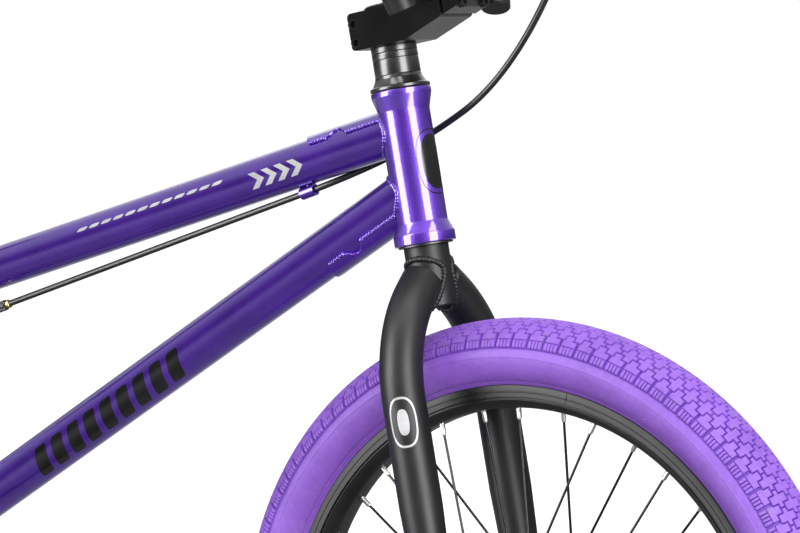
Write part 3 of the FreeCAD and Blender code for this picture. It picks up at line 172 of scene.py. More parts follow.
def bent_route(corners, radii, step=4.0):
    """Points along straight runs joined by tangent arcs, for a bent metal tube."""
    points = [corners[0]]
    for before, corner, after, radius in zip(corners, corners[1:], corners[2:], radii):
        back = (before - corner).normalized()
        ahead = (after - corner).normalized()
        half = back.angle(ahead) / 2
        trim = radius / math.tan(half)
        centre = corner + (back + ahead).normalized() * (radius / math.sin(half))
        start = corner + back * trim - centre
        turn = math.pi - 2 * half
        axis = start.cross(corner + ahead * trim - centre).normalized()
        pieces = max(6, int(radius * turn / step))
        straight = (centre + start - points[-1]).length
        for part in range(1, int(straight / 30)):
            points.append(points[-1].lerp(centre + start, 30 / (centre + start - points[-1]).length))
        for piece in range(pieces + 1):
            points.append(centre + Matrix.Rotation(turn * piece / pieces, 3, axis) @ start)
    points.append(corners[-1])
    return points


def softened(profile, radius=0.5, steps=3):
    """A closed turned outline with its sharp corners rounded a little."""
    rounded = []
    count = len(profile)
    for index, (r, along) in enumerate(profile):
        corner = Vector((r, along))
        before = Vector(profile[index - 1]) - corner
        after = Vector(profile[(index + 1) % count]) - corner
        turn = math.pi - before.angle(after) if before.length and after.length else 0
        reach = min(radius, before.length * 0.45, after.length * 0.45)
        if r <= 0.001 or turn < 0.25:
            rounded.append((r, along))
            continue
        start = corner + before.normalized() * reach
        end = corner + after.normalized() * reach
        for step in range(steps + 1):
            t = step / steps
            point = start * (1 - t) ** 2 + corner * 2 * t * (1 - t) + end * t * t
            rounded.append((point.x, point.y))
    return rounded


def new_object(name, data):
    """An object for some data, linked into the scene."""
    obj = bpy.data.objects.new(name, data)
    bpy.context.scene.collection.objects.link(obj)
    return obj


def stand_for(nodes):
    """The object takes the place of its CAD nodes, which are hidden."""
    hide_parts(*nodes)


def make(name, shell, materials, nodes=(), body=None, sharp=35, bevel=0.0):
    """Turn a shell into a mesh object that rides its body and stands for its CAD nodes."""
    mesh = bpy.data.meshes.new(name)
    points = np.array([tuple(point) for point in shell.points], float) * MM
    mesh.from_pydata(points.tolist(), [], shell.faces)
    for material in materials:
        mesh.materials.append(material)
    if len(materials) > 1:
        mesh.polygons.foreach_set("material_index", shell.marks)
    tidy(mesh)
    obj = new_object(name, mesh)
    finish_surface(obj, sharp, bevel)
    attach(obj, body or BODY_OF[nodes[0]])
    if nodes:
        stand_for(nodes)
    return obj


def tidy(mesh):
    """Merge doubled points and make the normals face outward."""
    work = bmesh.new()
    work.from_mesh(mesh)
    bmesh.ops.remove_doubles(work, verts=work.verts, dist=0.000002)
    bmesh.ops.dissolve_degenerate(work, edges=work.edges, dist=0.000001)
    bmesh.ops.recalc_face_normals(work, faces=work.faces)
    work.to_mesh(mesh)
    work.free()


def finish_surface(obj, sharp, bevel):
    """Smooth shading with sharp edges kept, and an optional small bevel."""
    mesh = obj.data
    mesh.shade_smooth()
    mesh.set_sharp_from_angle(angle=math.radians(sharp))
    if bevel > 0:
        chamfer = obj.modifiers.new("edge", "BEVEL")
        chamfer.width = bevel * MM
        chamfer.segments = 2
        chamfer.limit_method = "ANGLE"
        chamfer.angle_limit = math.radians(32)
        chamfer.harden_normals = True


def keep_cad(node, materials, sharp=32, bevel=0.3, chooser=None):
    """Dress a CAD node: real edges and its own materials."""
    obj = frame["nodes"][node]
    obj.data.materials.clear()
    for material in materials:
        obj.data.materials.append(material)
    if chooser:
        for polygon in obj.data.polygons:
            polygon.material_index = chooser(polygon.center / MM)
    finish_surface(obj, sharp, bevel)
    return obj


# ------------------------------------------------------------------- materials
def material(name, colour, roughness, metallic=0.0, **sockets):
    """A principled material with uniform values on the shader's own sockets."""
    made = bpy.data.materials.new(name)
    made.use_nodes = True
    shader = made.node_tree.nodes["Principled BSDF"]
    shader.inputs["Base Color"].default_value = (*colour, 1)
    shader.inputs["Roughness"].default_value = roughness
    shader.inputs["Metallic"].default_value = metallic
    for socket, value in sockets.items():
        shader.inputs[socket.replace("_", " ")].default_value = value
    return made


def paler(colour, gain, lift):
    """A colour scaled and lifted, no channel past one."""
    return tuple(min(1.0, channel * gain + lift) for channel in colour)


class Nodes:
    """Short names for building one material's node tree."""

    def __init__(self, made):
        self.tree = made.node_tree
        self.shader = made.node_tree.nodes["Principled BSDF"]
        self.where = self.tree.nodes.new("ShaderNodeTexCoord").outputs["Object"]

    def node(self, kind, **settings):
        made = self.tree.nodes.new("ShaderNode" + kind)
        for key, value in settings.items():
            setattr(made, key, value)
        return made

    def link(self, output, target):
        self.tree.links.new(output, target)

    def noise(self, scale, detail=3.0, roughness=0.55, vector=None):
        made = self.node("TexNoise")
        made.inputs["Scale"].default_value = scale
        made.inputs["Detail"].default_value = detail
        made.inputs["Roughness"].default_value = roughness
        self.link(vector or self.where, made.inputs["Vector"])
        return made.outputs["Fac"]

    def cells(self, scale, output="Color", vector=None):
        made = self.node("TexVoronoi")
        made.inputs["Scale"].default_value = scale
        self.link(vector or self.where, made.inputs["Vector"])
        return made.outputs[output]

    def ramp(self, value, stops):
        made = self.node("ValToRGB")
        elements = made.color_ramp.elements
        while len(elements) < len(stops):
            elements.new(0.5)
        for element, (position, colour) in zip(elements, stops):
            element.position = position
            element.color = (*colour, 1) if len(colour) == 3 else colour
        self.link(value, made.inputs["Fac"])
        return made.outputs["Color"]

    def spread(self, value, low, high, start=0.0, end=1.0):
        made = self.node("MapRange")
        made.inputs["From Min"].default_value = start
        made.inputs["From Max"].default_value = end
        made.inputs["To Min"].default_value = low
        made.inputs["To Max"].default_value = high
        self.link(value, made.inputs["Value"])
        return made.outputs["Result"]

    def math(self, operation, first, second):
        made = self.node("Math", operation=operation)
        for socket, value in ((0, first), (1, second)):
            if isinstance(value, (int, float)):
                made.inputs[socket].default_value = value
            else:
                self.link(value, made.inputs[socket])
        return made.outputs[0]

    def mix(self, factor, first, second):
        made = self.node("Mix", data_type="RGBA")
        self.link(factor, made.inputs["Factor"])
        for socket, value in (("A", first), ("B", second)):
            target = [s for s in made.inputs if s.name == socket and s.type == "RGBA"][0]
            if isinstance(value, tuple):
                target.default_value = (*value, 1)
            else:
                self.link(value, target)
        return [s for s in made.outputs if s.type == "RGBA"][0]

    def bump(self, height, strength, distance, onto=None):
        made = self.node("Bump")
        made.inputs["Strength"].default_value = strength
        made.inputs["Distance"].default_value = distance
        self.link(height, made.inputs["Height"])
        if onto:
            self.link(onto, made.inputs["Normal"])
        return made.outputs["Normal"]

    def attribute(self, name):
        return self.node("Attribute", attribute_name=name).outputs["Fac"]

    def wave(self, value, length):
        """A sine from -1 to 1 that repeats after a length."""
        return self.math("SINE", self.math("MULTIPLY", value, 2 * math.pi / length), 0)

    def set(self, socket, output):
        self.link(output, self.shader.inputs[socket])


def flake_paint(name, deep, bright, metallic):
    """Clear-coated metallic paint: flakes under a glassy coat with a trace of orange peel."""
    made = material(name, deep, 0.34, metallic, Coat_Weight=1.0, Coat_Roughness=0.035, Coat_IOR=1.55)
    n = Nodes(made)
    flakes = n.cells(3600.0)
    glint = n.node("SeparateColor")
    n.link(flakes, glint.inputs["Color"])
    cloud = n.noise(35.0, 4.0)
    sparkle = n.math("MULTIPLY", glint.outputs["Red"], glint.outputs["Green"])
    tone = n.math("ADD", n.spread(sparkle, 0.0, 0.62), n.spread(cloud, -0.12, 0.3))
    n.set("Base Color", n.ramp(tone, [(0.0, deep), (0.45, tuple((a + b) / 2 for a, b in zip(deep, bright))),
                                      (0.95, bright)]))
    n.set("Normal", n.bump(glint.outputs["Blue"], 0.32, 0.00006))
    n.set("Roughness", n.spread(cloud, 0.27, 0.4))
    n.set("Coat Normal", n.bump(n.noise(420.0, 2.0), 0.05, 0.0004))
    return made


def satin_paint(name, colour, roughness, grain=0.10, coat=0.25):
    """Powder-coated or satin black: fine pebbling, faint handling marks."""
    made = material(name, colour, roughness, Coat_Weight=coat, Coat_Roughness=0.32,
                    Specular_IOR_Level=0.26)
    n = Nodes(made)
    patches = n.noise(28.0, 5.0, 0.6)
    lighter = paler(colour, 1.55, 0.004)
    n.set("Base Color", n.ramp(patches, [(0.35, colour), (0.75, lighter)]))
    n.set("Roughness", n.spread(n.noise(90.0, 6.0, 0.7), roughness - 0.07, roughness + 0.10))
    n.set("Normal", n.bump(n.noise(1500.0, 3.0), grain, 0.0003))
    return made


def turned_metal(name, colour, roughness, metallic=1.0, lines=1600.0, strength=0.08):
    """Machined or anodised metal with fine random scratches."""
    made = material(name, colour, roughness, metallic)
    n = Nodes(made)
    stretch = n.node("Mapping")
    stretch.inputs["Scale"].default_value = (1.0, 0.06, 1.0)
    n.link(n.where, stretch.inputs["Vector"])
    scratches = n.noise(lines, 4.0, 0.7, stretch.outputs["Vector"])
    patches = n.noise(45.0, 5.0, 0.6)
    lighter = paler(colour, 1.25, 0.01)
    n.set("Base Color", n.ramp(patches, [(0.3, colour), (0.8, lighter)]))
    n.set("Roughness", n.spread(scratches, max(0.04, roughness - 0.08), roughness + 0.12))
    n.set("Normal", n.bump(scratches, strength, 0.0002))
    return made


def moulded_plastic(name, colour, roughness, grain=0.25, scale=900.0):
    """Moulded nylon or rubber with a fine texture and slight dust."""
    made = material(name, colour, roughness)
    n = Nodes(made)
    dust = n.noise(60.0, 6.0, 0.65)
    lighter = paler(colour, 1.4, 0.006)
    n.set("Base Color", n.ramp(dust, [(0.4, colour), (0.72, lighter)]))
    n.set("Roughness", n.spread(dust, roughness - 0.06, roughness + 0.08))
    n.set("Normal", n.bump(n.cells(scale, "Distance"), grain, 0.0003))
    return made


def tyre_rubber():
    """Coloured rubber: cloudy tint, grey scuffs on the tread's tops and fine moulded hatching there."""
    deep = (0.23, 0.082, 0.56)
    light = (0.40, 0.168, 0.88)
    made = material("violet tyre rubber", light, 0.56, 0.0, Specular_IOR_Level=0.26)
    n = Nodes(made)
    top = n.attribute("tread_top")
    travel = n.attribute("around")
    across = n.attribute("across")
    cloud = n.noise(24.0, 6.0, 0.62)
    fine = n.noise(260.0, 5.0, 0.7)
    base = n.ramp(n.math("ADD", n.spread(cloud, 0.0, 0.75), n.spread(fine, -0.15, 0.3)),
                  [(0.12, deep), (0.55, light), (0.95, (0.43, 0.20, 0.90))])
    # Painted shade: the tread's sunk grooves get a darker violet, which stands in for the shadow inside them.
    groove = n.attribute("groove")
    base = n.mix(n.math("MULTIPLY", groove, 0.5), base, (0.12, 0.035, 0.36))
    # The lower side wall is a shade darker and greyer than the tread.
    wall = n.spread(n.attribute("side_wall"), 0.0, 0.55)
    base = n.mix(wall, base, (0.25, 0.080, 0.56))
    scuff_patch = n.ramp(n.noise(75.0, 6.0, 0.75), [(0.56, (0, 0, 0)), (0.68, (1, 1, 1))])
    scuff = n.math("MULTIPLY", n.math("MULTIPLY", scuff_patch, top), 0.42)
    base = n.mix(scuff, base, (0.36, 0.27, 0.50))
    wall_scuff = n.ramp(n.noise(42.0, 8.0, 0.8), [(0.50, (0, 0, 0)), (0.66, (1, 1, 1))])
    base = n.mix(n.math("MULTIPLY", n.math("MULTIPLY", wall_scuff, wall), 0.75), base, (0.40, 0.26, 0.62))
    n.set("Base Color", base)
    n.set("Roughness", n.spread(cloud, 0.46, 0.66))
    hatch = n.math("MULTIPLY", n.spread(n.wave(travel, 0.62), 0.0, 1.0, -1.0, 1.0), top)
    rib = n.math("MULTIPLY", n.spread(n.wave(across, 0.9), 0.0, 0.35, -1.0, 1.0), top)
    coarse = n.bump(n.math("ADD", hatch, rib), 0.55, 0.00016)
    n.set("Normal", n.bump(fine, 0.22, 0.0002, coarse))
    return made


def rim_black():
    """Black anodised rim: fine turning lines round the wheel come from the radial attribute."""
    made = material("black anodised rim", (0.018, 0.018, 0.017), 0.46, 0.2, Specular_IOR_Level=0.3)
    n = Nodes(made)
    lines = n.attribute("radial")
    stretched = n.node("CombineXYZ")
    n.link(n.math("MULTIPLY", lines, 2.2), stretched.inputs["X"])
    grooves = n.noise(1.0, 3.0, 0.6, stretched.outputs["Vector"])
    patches = n.noise(30.0, 5.0, 0.6)
    n.set("Base Color", n.ramp(patches, [(0.35, (0.012, 0.012, 0.012)), (0.75, (0.024, 0.024, 0.023))]))
    n.set("Roughness", n.spread(grooves, 0.42, 0.52))
    n.set("Normal", n.bump(grooves, 0.04, 0.0002))
    return made


def saddle_fabric():
    """Hard-wearing woven nylon over foam."""
    made = material("woven saddle cover", (0.018, 0.018, 0.02), 0.82, Sheen_Weight=0.35,
                    Sheen_Roughness=0.4)
    n = Nodes(made)
    split = n.node("SeparateXYZ")
    n.link(n.where, split.inputs["Vector"])
    warp = n.wave(split.outputs["X"], 0.0016)
    weft = n.wave(split.outputs["Y"], 0.0016)
    weave = n.spread(n.math("MULTIPLY", warp, weft), 0.0, 1.0, -1.0, 1.0)
    wear = n.noise(22.0, 5.0, 0.6)
    tone = n.math("ADD", n.spread(weave, 0.0, 0.5), n.spread(wear, 0.0, 0.5))
    n.set("Base Color", n.ramp(tone, [(0.2, (0.010, 0.010, 0.012)), (0.9, (0.040, 0.040, 0.044))]))
    n.set("Roughness", n.spread(weave, 0.72, 0.92))
    n.set("Normal", n.bump(weave, 0.5, 0.0003))
    return made


VIOLET = flake_paint("violet flake paint", (0.034, 0.003, 0.200), (0.190, 0.022, 0.850), 0.42)
SATIN_BLACK = satin_paint("satin black paint", (0.006, 0.006, 0.007), 0.44, coat=0.06)
GLOSS_BLACK = satin_paint("gloss black anodising", (0.006, 0.006, 0.006), 0.16, 0.03, 0.9)
STEM_BLACK = satin_paint("blasted black stem", (0.008, 0.008, 0.009), 0.30, 0.16, 0.15)
TYRE = tyre_rubber()
RIM = rim_black()
NICKEL = turned_metal("nickel-plated brass", (0.42, 0.41, 0.39), 0.42)
STEEL = turned_metal("ground steel", (0.52, 0.52, 0.53), 0.30)
DARK_STEEL = turned_metal("black-oxide steel", (0.055, 0.053, 0.052), 0.38)
CHAIN_STEEL = turned_metal("oiled chain steel", (0.16, 0.155, 0.15), 0.34)
SPOKE_BLACK = turned_metal("black spoke", (0.012, 0.012, 0.013), 0.16, 0.6)
BLACK_ALLOY = turned_metal("black machined alloy", (0.028, 0.028, 0.029), 0.36, 0.7)
BRASS = turned_metal("polished brass", (0.78, 0.55, 0.19), 0.20)
HOUSING = moulded_plastic("cable housing", (0.007, 0.007, 0.008), 0.36, 0.05, 500.0)
BLACK_NYLON = moulded_plastic("black nylon", (0.020, 0.020, 0.021), 0.55)
GRIP_RUBBER = moulded_plastic("grip rubber", (0.016, 0.016, 0.017), 0.70, 0.35, 700.0)
PAD_RUBBER = moulded_plastic("brake pad rubber", (0.030, 0.030, 0.030), 0.75, 0.3, 600.0)
COVER = saddle_fabric()
THREAD = moulded_plastic("white thread", (0.60, 0.59, 0.57), 0.7, 0.2, 900.0)
DECAL_BLACK = moulded_plastic("black decal film", (0.006, 0.006, 0.007), 0.20, 0.02, 400.0)
DECAL_WHITE = moulded_plastic("white decal film", (0.66, 0.66, 0.68), 0.24, 0.02, 400.0)

# ------------------------------------------------------------------ frame tubes
def surface_reach(origin, along, post, post_axis, post_radius):
    """How far a line runs from its origin before it leaves a round post, or None if it misses it."""
    flat = along - post_axis * along.dot(post_axis)
    gap = (origin - post) - post_axis * (origin - post).dot(post_axis)
    a = flat.dot(flat)
    b = 2 * flat.dot(gap)
    c = gap.dot(gap) - post_radius ** 2
    inside = b * b - 4 * a * c
    return (-b + math.sqrt(inside)) / (2 * a) if inside >= 0 else None


def coped_tube(shell, start, end, radius, start_post, end_post, steps=40, sides=64):
    """A tube whose two ends are cut to sit just inside the round posts that they are welded to."""
    along = (end - start).normalized()
    length = (end - start).length
    across, other = square_to(along)
    sink = 1.2

    def end_ring(share, post, direction, origin):
        ring = []
        for side in range(sides):
            offset = turned(across, other, side, sides) * radius * share
            reach = surface_reach(origin + offset, direction, post[0], post[1], post[2] - sink)
            ring.append(origin + offset + direction * max(reach or 0.0, 0.0))
        return ring

    shares = (0.02, 0.5, 0.85)
    rows = [end_ring(share, start_post, along, start) for share in shares]
    first = end_ring(1.0, start_post, along, start)
    last = end_ring(1.0, end_post, -along, end)
    for step in range(steps + 1):
        rows.append([a.lerp(b, step / steps) for a, b in zip(first, last)])
    rows += [end_ring(share, end_post, -along, end) for share in reversed(shares)]
    shell.grid(rows, cap_start=True, cap_end=True)


def joint_curve(start, along, radius, post, steps=120, grow=0.0):
    """The closed curve where a tube's skin meets a round post."""
    across, other = square_to(along)
    curve = []
    for step in range(steps):
        offset = turned(across, other, step, steps) * (radius + grow)
        reach = surface_reach(start + offset, along, post[0], post[1], post[2] + grow)
        curve.append(start + offset + along * (reach or 0.0))
    return curve


def even_points(curve, spacing, closed=True):
    """The curve walked again in equal steps."""
    loop = curve + [curve[0]] if closed else curve
    lengths = [0.0]
    for a, b in zip(loop, loop[1:]):
        lengths.append(lengths[-1] + (b - a).length)
    count = max(8, int(round(lengths[-1] / spacing)))
    points = []
    place = 0
    for step in range(count if closed else count + 1):
        goal = lengths[-1] * step / count
        while place < len(loop) - 2 and lengths[place + 1] < goal:
            place += 1
        share = (goal - lengths[place]) / max(lengths[place + 1] - lengths[place], 1e-9)
        points.append(loop[place].lerp(loop[place + 1], min(share, 1.0)))
    return points


def weld(shell, curve, size=2.3, pitch=2.3, closed=True, sides=10, depth=0.16):
    """A weld bead of overlapping ripples laid along a curve."""
    points = even_points(curve, pitch / 6, closed)
    count = len(points)
    ripples = max(3, round(count / 6))
    radii = []
    for index in range(count):
        phase = (index / count * ripples) % 1.0
        wobble = 0.06 * math.sin(index * 0.37) + 0.04 * math.sin(index * 0.11 + 1.0)
        radii.append(size * (1.0 - depth + depth * math.sin(math.pi * phase) + wobble))
    if not closed:
        radii[0] = radii[-1] = size * 0.3
        shell.grid(rings_along(points, radii, sides), cap_start=True, cap_end=True)
        return
    rings = []
    across = None
    for index, point in enumerate(points):
        along = (points[(index + 1) % count] - points[index - 1]).normalized()
        if across is None:
            across = square_to(along)[0]
        across = (across - along * across.dot(along)).normalized()
        other = along.cross(across)
        rings.append([point + turned(across, other, side, sides) * radii[index] for side in range(sides)])
    rows = rings + [twist_to_match(rings[0], rings[-1])]
    shell.grid(rows)


def twist_to_match(ring, target):
    """The same ring, started from the point nearest to the target's first point."""
    best = min(range(len(ring)), key=lambda turn: (ring[turn] - target[0]).length)
    return ring[best:] + ring[:best]


HEAD_POST = (HEAD_BOTTOM, HEAD_UP, 19.3)
SEAT_TUBE_RADIUS = 15.9
SEAT_POST = (CRANK_AXIS, SEAT_UP, SEAT_TUBE_RADIUS)
SHELL_POST = (CRANK_AXIS, Y, 23.0)
TOP_START = HEAD_BOTTOM + HEAD_UP * 86.2
TOP_ALONG = Vector((-math.cos(math.radians(16.87)), 0, -math.sin(math.radians(16.87))))
DOWN_START = HEAD_BOTTOM + HEAD_UP * 41.5
DOWN_ALONG = (CRANK_AXIS - DOWN_START).normalized()
TOP_RADIUS = 16.7
DOWN_RADIUS = 18.4


def meet_in_plane(start, along, post, post_axis):
    """Where a line in the bicycle's middle plane crosses another."""
    cross = along.x * post_axis.z - along.z * post_axis.x
    gap = post - start
    return start + along * ((gap.x * post_axis.z - gap.z * post_axis.x) / cross)


TOP_END = meet_in_plane(TOP_START, TOP_ALONG, CRANK_AXIS, SEAT_UP)
SEAT_TOP = CRANK_AXIS + SEAT_UP * 245.0

head = Shell()
HEAD_OUTLINE = [(23.0, 0.0), (23.0, 7.5), (22.4, 8.6), (19.9, 14.6), (19.3, 16.2), (19.3, 100.2),
                (19.7, 101.6), (22.1, 110.2), (22.5, 111.4), (22.5, 115.4), (20.9, 115.4), (20.9, 107.0),
                (17.0, 105.0), (17.0, 10.4), (20.9, 8.4), (20.9, 0.0)]
head.lathe(softened(HEAD_OUTLINE, 0.7), HEAD_BOTTOM, HEAD_UP, 144)
make("head_tube_body", head, [VIOLET], ["head_tube"], sharp=40)

tube = Shell()
coped_tube(tube, TOP_START, TOP_END, TOP_RADIUS, HEAD_POST, SEAT_POST)
make("top_tube_body", tube, [VIOLET], ["top_tube"])
tube = Shell()
coped_tube(tube, DOWN_START, CRANK_AXIS, DOWN_RADIUS, HEAD_POST, SHELL_POST)
make("down_tube_body", tube, [VIOLET], ["down_tube"])


# ---------------------------------------------------------------------- gussets
def gusset(shell, stitches, start, along, radius, side, post):
    """A scalloped half sleeve with rounded edges, and the stitches of weld that hold it."""
    sheet = 2.0
    up = Y.cross(along) * side
    tip = 69.0
    edge_angle = [(0, 52), (27, 52), (30, 46), (33, 34), (37, 31), (40, 35), (43, 46), (45, 49), (62, 48),
                  (64, 41), (66, 29), (68, 14), (tip, 1.5)]

    def reach_at(angle, distance, grow):
        offset = (up * math.cos(angle) + Y * math.sin(angle)) * (radius + grow)
        base = surface_reach(start + offset, along, post[0], post[1], post[2] - 0.8) or 0.0
        flat = surface_reach(start + up * radius, along, post[0], post[1], post[2]) or 0.0
        fade = min(distance / 20.0, 1.0)
        return start + offset + along * (base * (1 - fade) + flat * fade + distance)

    def edge_at(distance):
        for (d0, a0), (d1, a1) in zip(edge_angle, edge_angle[1:]):
            if d0 <= distance <= d1:
                share = (distance - d0) / (d1 - d0)
                share = share * share * (3 - 2 * share)
                return math.radians(a0 + (a1 - a0) * share)
        return math.radians(edge_angle[-1][1])

    rows = []
    distances = [tip * step / 90 for step in range(91)]
    for distance in distances:
        half = edge_at(distance)
        soft = min(0.045, half * 0.4)
        ring = []
        for step in range(41):
            ring.append(reach_at(-half + soft + (2 * half - 2 * soft) * step / 40, distance, sheet))
        ring.append(reach_at(half - soft * 0.3, distance, sheet - 0.25))
        ring.append(reach_at(half, distance, sheet - 0.9))
        for step in range(11):
            ring.append(reach_at(half - 2 * half * step / 10, distance, -0.4))
        ring.append(reach_at(-half, distance, sheet - 0.9))
        ring.append(reach_at(-half + soft * 0.3, distance, sheet - 0.25))
        rows.append(ring)
    shell.grid(rows, cap_start=True, cap_end=True)
    for flank in (-1, 1):
        for low, high in ((1, 27), (45, 62)):
            path = [reach_at(flank * (edge_at(low + (high - low) * step / 40) + 0.01),
                             low + (high - low) * step / 40, 0.9) for step in range(41)]
            weld(stitches, path, 2.0, 3.2, closed=False, depth=0.45)


sleeves = Shell()
stitches = Shell()
gusset(sleeves, stitches, TOP_START, TOP_ALONG, TOP_RADIUS, 1, HEAD_POST)
gusset(sleeves, stitches, DOWN_START, DOWN_ALONG, DOWN_RADIUS, -1, HEAD_POST)
make("gusset_sleeves", sleeves, [VIOLET], ["head_gussets"], sharp=50)
make("gusset_welds", stitches, [VIOLET], body="frame", sharp=60)

# ------------------------------------------------------- seat tube, stays, welds
seat = Shell()
seat.lathe([(SEAT_TUBE_RADIUS * 0.9, 22.0), (SEAT_TUBE_RADIUS, 22.0), (SEAT_TUBE_RADIUS, 133.25),
            (SEAT_TUBE_RADIUS, 244.5), (15.6, 245.0), (13.2, 245.0), (12.75, 244.5), (12.75, 24.0)],
           CRANK_AXIS, SEAT_UP, 64)
make("seat_tube_body", seat, [VIOLET], ["seat_tube"])

STAY_TOP = CRANK_AXIS + SEAT_UP * 190.0
STAY_X = (STAY_TOP - REAR_AXLE).normalized()
STAY_Z = Vector((-STAY_X.z, 0, STAY_X.x))
STAY_REACH = (STAY_TOP - REAR_AXLE).length
HUB_HALF = 57.5


def on_stay(along, side, up):
    """A point in the seat stays' frame: from the axle toward the seat tube, to the left, and up."""
    return REAR_AXLE + STAY_X * along + Y * side + STAY_Z * up


chain_stays = Shell()
seat_stays = Shell()
away = (CRANK_AXIS - REAR_AXLE).normalized()
for side in (-1, 1):
    corners = [CRANK_AXIS + Y * (side * 21) - away * 21, CRANK_AXIS - away * 62 + Y * (side * 29),
               CRANK_AXIS - away * 112 + Y * (side * 43.5), REAR_AXLE + away * 24 + Y * (side * HUB_HALF)]
    chain_stays.sweep(bent_route(corners, [60.0, 70.0]), 9.0, 40)
    corners = [on_stay(20, side * HUB_HALF, 0), on_stay(264, side * 41, 0),
               on_stay(STAY_REACH - 13, side * (6 + 35 * 17 / (STAY_REACH + 4 - 264)), 0)]
    seat_stays.sweep(bent_route(corners, [70.0]), 8.0, 40)
bridge_half = 35.0
seat_stays.sweep([on_stay(285, -bridge_half, 0), on_stay(285, 0, 0), on_stay(285, bridge_half, 0)], 6.0, 32)
make("chain_stay_tubes", chain_stays, [VIOLET], ["chain_stays"])
make("seat_stay_tubes", seat_stays, [VIOLET], ["seat_stays"])

beads = Shell()
weld(beads, joint_curve(TOP_START, TOP_ALONG, TOP_RADIUS, HEAD_POST), 2.1)
weld(beads, joint_curve(DOWN_START, DOWN_ALONG, DOWN_RADIUS, HEAD_POST), 2.1)
weld(beads, joint_curve(TOP_END, -TOP_ALONG, TOP_RADIUS, (CRANK_AXIS, SEAT_UP, 15.95)), 2.0)
weld(beads, joint_curve(CRANK_AXIS, -DOWN_ALONG, DOWN_RADIUS, SHELL_POST), 2.3)
weld(beads, joint_curve(CRANK_AXIS, SEAT_UP, SEAT_TUBE_RADIUS, SHELL_POST), 2.2)
for side in (-1, 1):
    knee = CRANK_AXIS - away * 62 + Y * (side * 29)
    run = (knee - (CRANK_AXIS + Y * (side * 21) - away * 8)).normalized()
    origin = knee - run * 60
    weld(beads, joint_curve(origin, run, 9.0, SHELL_POST), 1.7)
    knee = on_stay(264, side * 41, 0)
    run = (on_stay(STAY_REACH + 4, side * 6, 0) - knee).normalized()
    weld(beads, joint_curve(on_stay(STAY_REACH + 4, side * 6, 0), -run, 8.0, SEAT_POST), 1.5)
make("frame_welds", beads, [VIOLET], body="frame", sharp=60)

for node in ("bottom_bracket_shell", "rear_dropouts", "cable_guides"):
    keep_cad(node, [VIOLET], bevel=0.5)
keep_cad("brake_studs", [DARK_STEEL])
keep_cad("frame_bearings", [STEEL])
keep_cad("seat_clamp", [GLOSS_BLACK, DARK_STEEL], bevel=0.5)
keep_cad("rear_axle_set", [DARK_STEEL])
keep_cad("chain_inner_links", [CHAIN_STEEL], bevel=0.0)
keep_cad("chain_outer_links", [CHAIN_STEEL], bevel=0.0)

# --------------------------------------------------------------- fork and headset
fork = Shell()
FORK_OUTLINE = [(4.0, -47.0), (16.8, -47.0), (16.8, -1.4), (14.3, -1.4), (14.3, 173.9), (11.6, 173.9),
                (11.6, -43.0), (4.0, -43.0)]
fork.lathe(softened(FORK_OUTLINE, 0.6), HEAD_BOTTOM, HEAD_UP, 96)
make("fork_boss_and_steerer", fork, [SATIN_BLACK], ["fork_steerer"], sharp=40)

LEG_SIDE = 61
LEG_RADIUS = 16.0
LEG_LOW = -190
legs = Shell()
fork_beads = Shell()
for side in (-1, 1):
    corners = [on_head(0, side * 11.5, -27.0), on_head(0, side * LEG_SIDE, -65.7),
               on_head(0, side * LEG_SIDE, LEG_LOW)]
    path = bent_route(corners, [98.0], 3.0)
    radii = [LEG_RADIUS] * len(path)
    for step in range(1, 13):
        share = step / 12
        path.append(on_head(0, side * LEG_SIDE, LEG_LOW - 108 * share))
        radii.append(LEG_RADIUS - 4.0 * share)
    legs.sweep(path, radii, 56, edge=1.6)
    run = (corners[1] - corners[0]).normalized()
    curve = joint_curve(corners[0] - run * 7.0, run, LEG_RADIUS, (HEAD_BOTTOM, HEAD_UP, 16.8), grow=-0.2)
    weld(fork_beads, curve, 2.4, 2.9, depth=0.22)
make("fork_leg_tubes", legs, [SATIN_BLACK], ["fork_legs"])
make("fork_welds", fork_beads, [SATIN_BLACK], body="fork_and_handlebar", sharp=60)
keep_cad("fork_dropouts", [SATIN_BLACK], bevel=0.8)
keep_cad("headset_races", [DARK_STEEL])

cover = Shell()
LOW = 115.9
STEERER_BORE = 14.35
outline = [(STEERER_BORE, LOW), (22.1, LOW), (22.5, LOW + 0.5), (22.5, LOW + 2.4), (21.9, LOW + 3.0),
           (20.6, LOW + 3.2), (17.8, LOW + 8.6), (17.3, LOW + 11.0), (STEERER_BORE, LOW + 11.0)]
cover.lathe(softened(outline, 0.35), HEAD_BOTTOM, HEAD_UP, 128)
make("headset_top_cover", cover, [GLOSS_BLACK], ["headset_cover"], sharp=40)
stack = Shell()
level = LOW + 11.0
for height in (12.0, 5.0, 5.0):
    top = level + height
    outline = [(STEERER_BORE, level), (17.2, level), (17.2, top), (STEERER_BORE, top)]
    stack.lathe(softened(outline, 0.45), HEAD_BOTTOM, HEAD_UP, 128)
    level = top
make("headset_spacer_stack", stack, [GLOSS_BLACK], ["headset_spacers"], sharp=40)

keep_cad("stem", [STEM_BLACK], bevel=0.7)
keep_cad("stem_faceplate", [STEM_BLACK], bevel=0.7)
keep_cad("stem_hardware", [DARK_STEEL], bevel=0.25)

# --------------------------------------------------------------------- handlebar
def on_clamp(side):
    """A point on the handlebar clamp's axis."""
    return on_head(53, side, 183)


